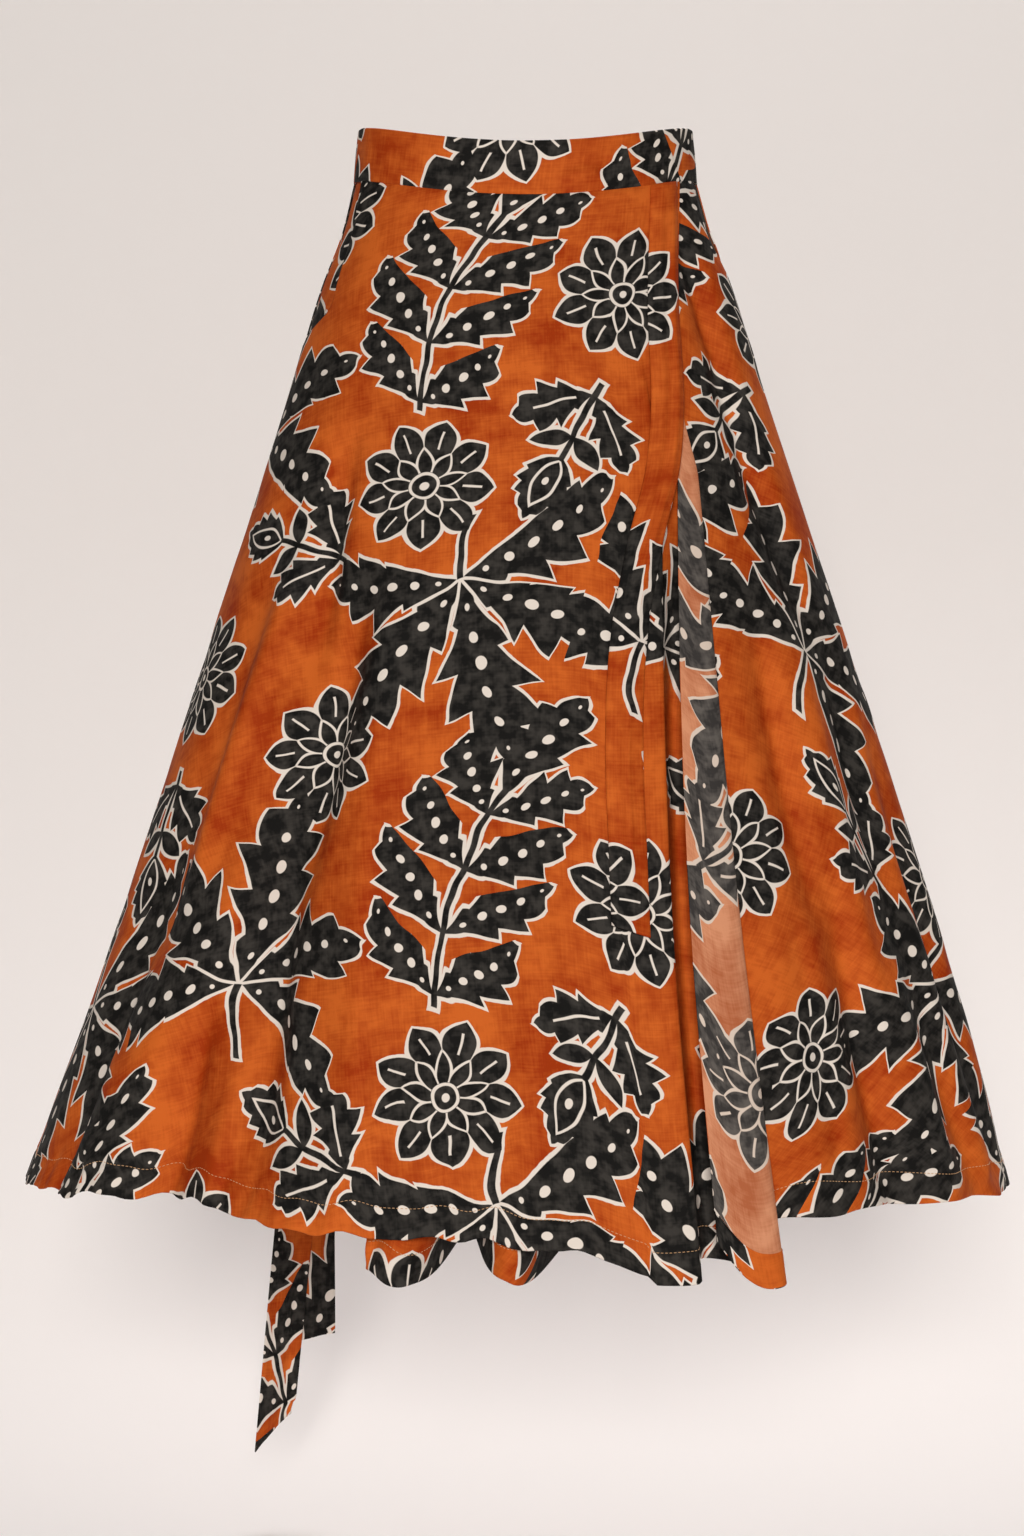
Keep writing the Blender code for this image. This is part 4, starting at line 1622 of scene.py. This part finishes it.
@dataclass(frozen=True)
class LeafPrint:
    """A block print of leaf hands, fronds, daisies and budding sprigs, repeated as a half
    drop: each column of repeats lies half a repeat lower than the one before. The numbers
    in a motif's formulas are its own millimetres, and shares of its leaves."""

    width: float = 400.0
    height: float = 500.0
    hands: tuple[Place, ...] = table(Place, (105, 95, 20), (322, 400, 190, True))
    fronds: tuple[Place, ...] = table(Place, (326, 160, 24))
    daisies: tuple[Place, ...] = table(Place, (54, 392, 9), (198, 270, 0), (292, -12, 20))
    sprigs: tuple[Place, ...] = table(Place, (8, 268, -150), (176, 462, 56, True))

    def spot(self, cloth: Spot, places: tuple[Place, ...]) -> Spot:
        """A place on the cloth as seen from the nearest of some motifs.

        Args:
            cloth: the place.
            places: where the motifs stand in the repeat.

        Returns:
            The place, from that motif's middle.
        """
        found = None
        for place in places:
            x = cloth.x - place.x
            column = (x * (1 / self.width)).worked("ROUND")
            x = x - column * self.width
            y = (cloth.y - place.y + column * (self.height / 2)).wrapped(self.height / 2)
            seen = Spot(x * -1 if place.mirrored else x, y).turned(place.degrees)
            found = seen if found is None else found.nearer(seen)
        return found

    def hand(self, spot: Spot) -> Drawn:
        """Five toothed leaves round the top of a bowed stem, by folding the angle into
        sectors of 49 degrees. The outer leaves are shorter and bend more.

        Args:
            spot: the place as seen from the motif's middle.

        Returns:
            The drawn motif.
        """
        leaf, step = Leaf(158.0, 24.5, 4.6, 36.0, tail=1.9, barb=0.012), math.radians(49.0)
        angle, reach = spot.polar()
        k = (angle * (1 / step)).worked("ROUND").held(-2.0, 2.0)
        off = angle - k * step
        arm = from_polar(off, reach)
        grown = abs(k) * 0.13 + (k * 2.1).worked("SINE") * 0.10 + 0.98
        shape, middle = leaf.drawn(Spot(arm.x, arm.y * grown), k * 0.10 + 0.08)
        shape = shape.most(1.3 - (step / 2 - abs(off)) * reach)
        stem = (abs(spot.x - spot.y * spot.y * 0.006) - 2.8).most(abs(spot.y + 28) - 28)
        return Drawn(shape.least(stem), leaf.dots(middle, 24.0, 4.8))

    def frond(self, spot: Spot) -> Drawn:
        """Four pairs of toothed leaflets up a bowed stem and one at its tip, by folding
        the two sides together and the stem into steps.

        Args:
            spot: the place as seen from the motif's middle.

        Returns:
            The drawn motif.
        """
        leaflet = Leaf(98.0, 17.5, 4.0, 20.0, bend=-0.12, tail=1.6)
        end, every = Leaf(100.0, 20.0, 4.0, 20.0, tail=1.2), 50.0
        y = spot.y + 112
        x = spot.x - spot.y * spot.y * 0.0013 + 7
        side = abs(x)
        k = ((y - 8 - side * 0.7) * (1 / every)).worked("ROUND").held(0.0, 3.0)
        arm = Spot(side, y - 8 - k * every).turned(52.0)
        shape, middle = leaflet.drawn(Spot(arm.x, arm.y * (abs(k - 1.2) * 0.16 + 1)))
        leaflets = Drawn(shape, leaflet.dots(middle, 17.5, 3.8))
        tip, tip_middle = end.drawn(Spot(x, y - 178))
        stem = (side - 2.4).most(abs(y - 100) - 100)
        return leaflets.joined(Drawn(tip.least(stem), end.dots(tip_middle, 18.0, 4.0)))

    def daisy(self, spot: Spot) -> Drawn:
        """Nine pointed petals round nine short ones and a ringed disc, by folding the
        angle into sectors of 40 degrees, and of 40 degrees half a sector on.

        Args:
            spot: the place as seen from the motif's middle.

        Returns:
            The drawn motif.
        """
        step, disc, length = math.radians(40.0), 16.0, 40.0
        angle, reach = spot.polar()
        petals = []
        for ahead, foot, long in ((0.0, disc, length), (step / 2, disc * 0.7, disc * 1.35)):
            arm = from_polar((angle + ahead).wrapped(step / 2), reach)
            petals.append((abs(arm.x), ((arm.y - foot) * (1 / long)).held(-0.3, 1.3)))
        (side, t), (near_side, near_t) = petals
        petal = (side - (t + 0.30) * (1.02 - t) * (t * 1.6 + 0.55) * 21.9) * 0.9
        vein = (side - 0.9).most(abs(t - 0.60) * length - 8.0)
        short = near_side - (near_t + 0.3) * (1 - near_t) * 14.4
        line = (abs(short) - 1.0).most(disc * 0.72 - reach)
        ring = (abs(reach - disc * 0.62) - 1.2).least(reach - disc * 0.2)
        shape = petal.least(short).least(reach - disc * 0.95)
        return Drawn(shape, ring.least(line).least(vein))

    def sprig(self, spot: Spot) -> Drawn:
        """A bud on a stem between two toothed leaves and two small ones.

        Args:
            spot: the place as seen from the motif's middle.

        Returns:
            The drawn motif.
        """
        side, y = abs(spot.x), spot.y
        stem = (side - 2.4).most(abs(y + 12) - 42)
        foot, upper = Spot(side - 1, y + 42).turned(48.0), Spot(side - 1, y + 2).turned(56.0)
        low, middle = Leaf(66.0, 15.0, 4.0, 17.0, tail=1.2).drawn(foot)
        high, _ = Leaf(34.0, 7.5, 2.0, 0.0, tail=0.0).drawn(upper)
        vein = (abs(middle.x) - 1.0).most(abs(middle.y - 32) - 18)
        bud, _ = Leaf(60.0, 19.0, 5.0, 10.0, tail=-0.35).drawn(Spot(side, y - 18))
        core, _ = Leaf(46.0, 9.0, 3.0, 0.0, tail=-0.3).drawn(Spot(side, y - 22))
        line = (abs(core) - 1.0).most(22 - y)
        pip = (side * 1.4).hypot(y - 42) - 3.6
        return Drawn(stem.least(low).least(high).least(bud), vein.least(line).least(pip))

    def drawn(self, cloth: Spot) -> Drawn:
        """The whole print. A pale mark shows only on its own motif.

        Args:
            cloth: a place on the cloth, in millimetres.

        Returns:
            All the motifs together.
        """
        design = None
        for places, draw in (
            (self.hands, self.hand),
            (self.fronds, self.frond),
            (self.daisies, self.daisy),
            (self.sprigs, self.sprig),
        ):
            motif = draw(self.spot(cloth, places))
            motif = Drawn(motif.shape, motif.marks.most(motif.shape))
            design = motif if design is None else design.joined(motif)
        return design


class Washes(NamedTuple):
    """The dyes of one side of the cloth: ground and ink between two tones each, and the
    pale outline."""

    ground_deep: str
    ground_light: str
    ink_dark: str
    ink_worn: str
    outline: str


class Cloud(NamedTuple):
    """Cloudy variation: the size of its clouds across and down, its detail and how
    rough that detail is."""

    across: float
    down: float
    detail: float
    roughness: float = 0.5


class Tone(NamedTuple):
    """How two tones of a dye mingle: the usual share of the paler one, and how much the
    washes, the brush strokes and the slubs change it."""

    usual: float
    wash: float
    brush: float
    slub: float


@dataclass(frozen=True)
class PrintedLinen:
    """Plain-woven linen, block printed by hand: slubs run both ways through the cloth,
    the dye lies in uneven washes, and the print shows through faintly on the back.

    To the eye the slubs give a dry, matt, slightly uneven hand, and the washes keep the
    large flats of rust from looking painted. Real threads are 0.3 mm wide, too fine for
    the picture, so the slubs are drawn 1.7 mm wide.
    """

    design: LeafPrint = LeafPrint()
    fresh: Washes = Washes("#A23605", "#D16523", "#151413", "#3A3734", "#E8DED4")
    faded: Washes = Washes("#B26440", "#DA9671", "#3A3736", "#625D59", "#DCCBBD")
    hand_wander: Cloud = Cloud(38.0, 38.0, 1.0)
    wash: Cloud = Cloud(60.0, 60.0, 3.0, 0.62)
    brush: Cloud = Cloud(12.0, 12.0, 2.0, 0.6)
    warp: Cloud = Cloud(1.7, 30.0, 1.0)
    weft: Cloud = Cloud(30.0, 1.7, 1.0)
    ground_tone: Tone = Tone(0.55, 2.5, 0.8, 0.45)
    ink_tone: Tone = Tone(0.40, 0.0, 3.2, 0.45)
    roughness: float = 0.78
    specular: float = 0.12
    wander_reach: float = 4.0
    outline_width: float = 2.9
    outline_uneven: float = 1.6
    hem_depth: float = 25.0
    hem_print_shift: Pair = (75.0, 140.0)
    edge_soft: float = 0.5
    hem_edge_soft: float = 0.4
    weave_strength: float = 0.35
    weave_height: float = 0.22

    def material(self, side: Side) -> bpy.types.Material:
        """The cloth's finish for one of its sides.

        The print's edges wander a little, as those of a block pressed by hand do. On the
        wrong side the colours are the faded ones, but fresh on the turned up hem.

        Args:
            side: right or wrong side of the cloth.

        Returns:
            The material.
        """
        name = f"printed_linen_{side.name.lower()}_side"
        material, shader = new_material(name, self.roughness)
        shader.inputs["Specular IOR Level"].default_value = self.specular
        tree = material.node_tree
        vector, scale = "ShaderNodeVectorMath", {"operation": "MULTIPLY"}

        cloth = add_node(tree, "ShaderNodeUVMap", {"uv_map": CLOTH_MAP}).outputs[0]
        mm = add_node(tree, vector, scale, {0: cloth, 1: (1 / MM, 1 / MM, 1.0)}).outputs[0]
        hem_map = add_node(tree, "ShaderNodeUVMap", {"uv_map": HEM_MAP}).outputs[0]
        above = add_node(tree, "ShaderNodeSeparateXYZ", None, {0: hem_map}).outputs[0]
        above = Field(tree, above) * (1 / MM)
        turned_up = (above - self.hem_depth).inside(self.hem_edge_soft)

        clouds = []
        for cloud in (self.hand_wander, self.wash, self.brush, self.warp, self.weft):
            inputs = {0: mm, 1: (1 / cloud.across, 1 / cloud.down, 1.0)}
            at = add_node(tree, vector, scale, inputs).outputs[0]
            inputs = {"Vector": at, "Scale": 1.0, "Detail": cloud.detail}
            inputs["Roughness"] = cloud.roughness
            settings = {"noise_dimensions": "2D"}
            clouds.append(add_node(tree, "ShaderNodeTexNoise", settings, inputs).outputs)
        wash, brush, warp, weft = (Field(tree, outputs[0]) for outputs in clouds[1:])

        inputs = {0: clouds[0]["Color"], 1: (self.wander_reach * 2,) * 3, 2: mm}
        printed = add_node(tree, vector, {"operation": "MULTIPLY_ADD"}, inputs).outputs[0]
        if side is Side.WRONG:
            inputs = {k: turned_up * shift for k, shift in enumerate(self.hem_print_shift)}
            shift = add_node(tree, "ShaderNodeCombineXYZ", None, inputs).outputs[0]
            inputs = {0: printed, 1: shift}
            printed = add_node(tree, vector, {"operation": "ADD"}, inputs).outputs[0]
        parts = add_node(tree, "ShaderNodeSeparateXYZ", None, {0: printed}).outputs
        design = self.design.drawn(Spot(Field(tree, parts[0]), Field(tree, parts[1])))

        slub = warp + weft
        wash, brush, uneven = wash - 0.5, brush - 0.5, slub - 1
        ground_share, ink_share = (
            (wash * tone.wash + tone.usual + brush * tone.brush + uneven * tone.slub).held(0.0, 1.0)
            for tone in (self.ground_tone, self.ink_tone)
        )
        line = design.shape - (brush * self.outline_uneven + self.outline_width)
        colours: dict[str, Any] = {k: paint(code) for k, code in self.fresh._asdict().items()}
        steps = [
            ("ground", ground_share, "ground_deep", "ground_light"),
            ("lined", line.inside(self.edge_soft), "ground", "outline"),
            ("ink", ink_share, "ink_dark", "ink_worn"),
            ("inked", design.shape.inside(self.edge_soft), "lined", "ink"),
            ("marked", design.marks.inside(self.edge_soft), "inked", "outline"),
        ]
        if side is Side.WRONG:
            colours |= {f"faded_{k}": paint(code) for k, code in self.faded._asdict().items()}
            steps = [(k, turned_up, f"faded_{k}", k) for k in Washes._fields] + steps
        for made, share, low, high in steps:
            inputs = {0: share, 6: colours[low], 7: colours[high]}
            mixed = add_node(tree, "ShaderNodeMix", {"data_type": "RGBA"}, inputs)
            colours[made] = mixed.outputs[2]
        tree.links.new(colours["marked"], shader.inputs["Base Color"])

        inputs = {"Height": slub, "Strength": self.weave_strength}
        inputs["Distance"] = self.weave_height * MM
        bumped = add_node(tree, "ShaderNodeBump", None, inputs).outputs[0]
        tree.links.new(bumped, shader.inputs["Normal"])
        return material


@dataclass(frozen=True)
class SpunThread:
    """Spun polyester sewing thread, softly glossy and paler than the cloth, so that the
    eye finds the row of stitches. Its twist is drawn a little coarser than real plies."""

    light: str = "#D9AE83"
    dark: str = "#C89A6C"
    twist: float = 0.9
    roughness: float = 0.55

    def material(self) -> bpy.types.Material:
        """The thread's finish, with the twist of its plies.

        Returns:
            The material.
        """
        material, shader = new_material("spun_polyester_thread", self.roughness)
        tree = material.node_tree
        at = add_node(tree, "ShaderNodeTexCoord").outputs["Object"]
        inputs = {"Vector": at, "Scale": 1 / (self.twist * MM)}
        ply = add_node(tree, "ShaderNodeTexNoise", None, inputs).outputs[0]
        inputs = {0: ply, 6: paint(self.dark), 7: paint(self.light)}
        tone = add_node(tree, "ShaderNodeMix", {"data_type": "RGBA"}, inputs).outputs[2]
        tree.links.new(tone, shader.inputs["Base Color"])
        return material


# ---------------- the studio


@dataclass(frozen=True)
class SoftBox:
    """A square soft light: where it stands, where it looks, its size, its power and how
    wide its grid lets it shine, in degrees."""

    place: tuple[float, float, float]
    aim: tuple[float, float, float]
    size: float
    watts: float
    colour: str
    spread: float = 180.0


@dataclass(frozen=True)
class Studio:
    """A plain pale sweep, soft light and the camera."""

    eye: tuple[float, float, float] = (-0.00984, -2.6, -0.4995)
    sensor: float = 36.0
    picture_height: float = 1.2595
    floor_level: float = -1.19
    sweep_start: float = 0.2
    sweep_radius: float = 1.0
    sweep_top: float = 0.55
    sweep_front: float = -3.5
    sweep_steps: int = 40
    sweep_columns: int = 13
    half_width: float = 3.0
    paper: str = "#F5F2F1"
    paper_roughness: float = 0.95
    paper_specular: float = 0.1
    room: str = "#FFFAF6"
    room_strength: float = 0.06
    room_seen: float = 0.74
    lights: tuple[SoftBox, ...] = (
        SoftBox((-0.20, -7.0, 0.72), (0.0, 0.0, -0.50), 1.7, 361.0, "#FFFAF4"),
        SoftBox((-2.5, -2.0, 1.0), (0.0, 0.0, -0.45), 1.2, 3.0, "#FFFAF4"),
        SoftBox((2.2, -2.6, 0.60), (0.4, 0.6, -0.30), 1.2, 4.0, "#FFFAF4"),
        SoftBox((0.30, 1.25, 1.9), (0.15, 0.35, -1.19), 0.9, 23.5, "#FFFBFA", 115.0),
    )

    def stand(self, name: str, data: Any) -> bpy.types.Object:
        """Puts a camera, a lamp or a mesh into the studio.

        Args:
            name: the object's name.
            data: the camera, lamp or mesh.

        Returns:
            The object.
        """
        thing = bpy.data.objects.new(name, data)
        bpy.context.scene.collection.objects.link(thing)
        return thing

    def camera(self) -> None:
        """Stands the camera level with the middle of the picture, looking at the front."""
        lens = bpy.data.cameras.new("camera")
        lens.sensor_width = self.sensor
        lens.lens = self.sensor * -self.eye[1] / self.picture_height
        camera = self.stand("camera", lens)
        camera.location = self.eye
        camera.rotation_euler = (math.pi / 2, 0.0, 0.0)
        bpy.context.scene.camera = camera

    def seamless_paper(self) -> bpy.types.Material:
        """Matt seamless paper, which keeps the floor's shadow soft and free of shine.

        Its back is clear, because the wall stands close behind the skirt and would hide
        it from every view behind.

        Returns:
            The material.
        """
        material, shader = new_material("seamless_paper", self.paper_roughness)
        tree = material.node_tree
        shader.inputs["Base Color"].default_value = paint(self.paper)
        shader.inputs["Specular IOR Level"].default_value = self.paper_specular
        behind = add_node(tree, "ShaderNodeNewGeometry").outputs["Backfacing"]
        clear = add_node(tree, "ShaderNodeBsdfTransparent").outputs[0]
        inputs = {0: behind, 1: shader.outputs[0], 2: clear}
        seen = add_node(tree, "ShaderNodeMixShader", None, inputs).outputs[0]
        tree.links.new(seen, tree.nodes["Material Output"].inputs["Surface"])
        return material

    def sweep(self) -> None:
        """The floor that curves up into the wall: a flat run, a quarter circle and an
        upright run, drawn out sideways."""
        turn = np.linspace(0.0, math.pi / 2, self.sweep_steps)
        y = self.sweep_start + self.sweep_radius * np.sin(turn)
        z = self.floor_level + self.sweep_radius * (1 - np.cos(turn))
        y = np.concatenate([[self.sweep_front], y, y[-1:]])[:, None]
        z = np.concatenate([[self.floor_level], z, [self.sweep_top]])[:, None]
        x = np.linspace(-self.half_width, self.half_width, self.sweep_columns)
        corners = np.stack(np.broadcast_arrays(x, y, z), axis=-1)
        faces = grid_faces(*corners.shape[:2])[1][:, ::-1]
        mesh = mesh_of("paper_sweep", corners.reshape(-1, 3), faces)
        mesh.materials.append(self.seamless_paper())
        self.stand(mesh.name, mesh)

    def light(self) -> None:
        """Sets up the soft boxes and the light that the room throws back."""
        for number, box in enumerate(self.lights):
            lamp = bpy.data.lights.new(f"soft_box_{number}", "AREA")
            lamp.shape = "SQUARE"
            lamp.size = box.size
            lamp.energy = box.watts
            lamp.color = paint(box.colour)[:3]
            lamp.spread = math.radians(box.spread)
            stand = self.stand(lamp.name, lamp)
            stand.location = box.place
            x, y, z = np.array(box.aim) - np.array(box.place)
            down = math.atan2(math.hypot(x, y), -z)
            stand.rotation_euler = (down, 0.0, math.atan2(-x, y))
        world = bpy.data.worlds.new("room")
        world.use_nodes = True
        tree = world.node_tree
        background = tree.nodes["Background"]
        background.inputs["Color"].default_value = paint(self.room)
        straight = add_node(tree, "ShaderNodeLightPath").outputs["Is Camera Ray"]
        inputs = {0: straight, 2: self.room_strength, 3: self.room_seen}
        strength = add_node(tree, "ShaderNodeMix", None, inputs).outputs[0]
        tree.links.new(strength, background.inputs["Strength"])
        bpy.context.scene.world = world
        bpy.context.scene.view_settings.view_transform = "Standard"

    def build(self) -> None:
        """Builds the whole studio."""
        self.camera()
        self.sweep()
        self.light()


# ---------------- the whole skirt


@dataclass(frozen=True)
class WrapSkirt:
    """Every piece of the skirt, with what differs between pieces of a kind."""

    band_end_x: float = 0.112
    band_over: float = 0.0006
    gathers: tuple[Crease, ...] = table(
        Crease,
        (113, -0.0175, 126, -0.03, 0.0045, -0.002),
        (117, -0.027, 128, -0.037, 0.0042, 0.0034),
        (100, -0.012, 114, -0.021, 0.0052, 0.0028),
    )
    long_tie: tuple[TieRow, ...] = table(
        TieRow, (0.0215, -0.088), (0.420, -0.134), (0.850, -0.196), (1.115, -0.223)
    )
    short_tie: tuple[TieRow, ...] = table(
        TieRow, (0.0215, -0.043), (0.420, -0.120), (0.850, -0.183), (1.022, -0.184)
    )

    def bands(self) -> tuple[Waistband, ...]:
        """The waistband's three stretches. The front one reaches past the free edge.

        Returns:
            Front, under and back.
        """
        wrap = FORM.wrap[0]
        seam = math.degrees(SEAM_GAP / FORM.rings[0].front)
        waist_x = np.array([self.band_end_x, wrap.edge_x, wrap.under_edge_x])
        end_top, end_low, under = np.degrees(FORM.front_angle(waist_x, np.zeros(3))).tolist()
        right, left, end = (seam, seam), (180.0 - seam,) * 2, (end_top, end_low)
        left_back, right_back = (180.0 + seam,) * 2, (360.0 - seam,) * 2
        over = wrap.over + self.band_over
        return (
            Waistband("waistband_front", right, end, over, 15, (0.02, 0.245), self.gathers),
            Waistband("waistband_under", (under,) * 2, left, 0.0, 15, (0.10, 0.17)),
            Waistband("waistband_back", left_back, right_back, 0.0, 14, (0.05, 0.12)),
        )

    def ties(self, front: FrontPanel, back: BackPanel) -> tuple[Tie, ...]:
        """The ties. Of the two behind, the shorter one is lifted over the longer one.

        Args:
            front, back: the panels that the ties lie on.

        Returns:
            The front tie, then the two behind.
        """
        long_tie = {"name": "tie_back_long", "middle": self.long_tie, "cut_at": (0.307, 0.20)}
        short_tie = {"name": "tie_back_short", "middle": self.short_tie, "cut_at": (0.085, 0.15)}
        return (
            FrontTie(front=front),
            BackTie(back=back, lift=0.0, end_slant=0.030, **long_tie),
            BackTie(back=back, lift=0.0047, end_slant=0.006, **short_tie),
        )

    def pieces(self) -> tuple[Any, ...]:
        """The whole skirt.

        Returns:
            All the pieces, in the order in which they are built.
        """
        front, back = FrontPanel(), BackPanel()
        under = UnderPanel(front=front)
        pockets = (
            SidePocket("pocket_left", front, False, (0.21, 0.03)),
            SidePocket("pocket_right", under, True, (0.05, 0.21)),
        )
        return front, under, back, *pockets, *self.bands(), *self.ties(front, back)


def main() -> None:
    """Builds the studio and every piece of the skirt, and reports each piece."""
    logging.basicConfig(level=logging.INFO, format="%(name)s %(message)s")
    Studio().build()
    linen = PrintedLinen()
    finishes = Finishes({side: linen.material(side) for side in Side}, SpunThread().material())
    for part in WrapSkirt().pieces():
        piece = part.build(finishes)
        LOG.info("%s: %d faces", piece.name, len(piece.data.polygons))


if __name__ == "__main__":
    main()
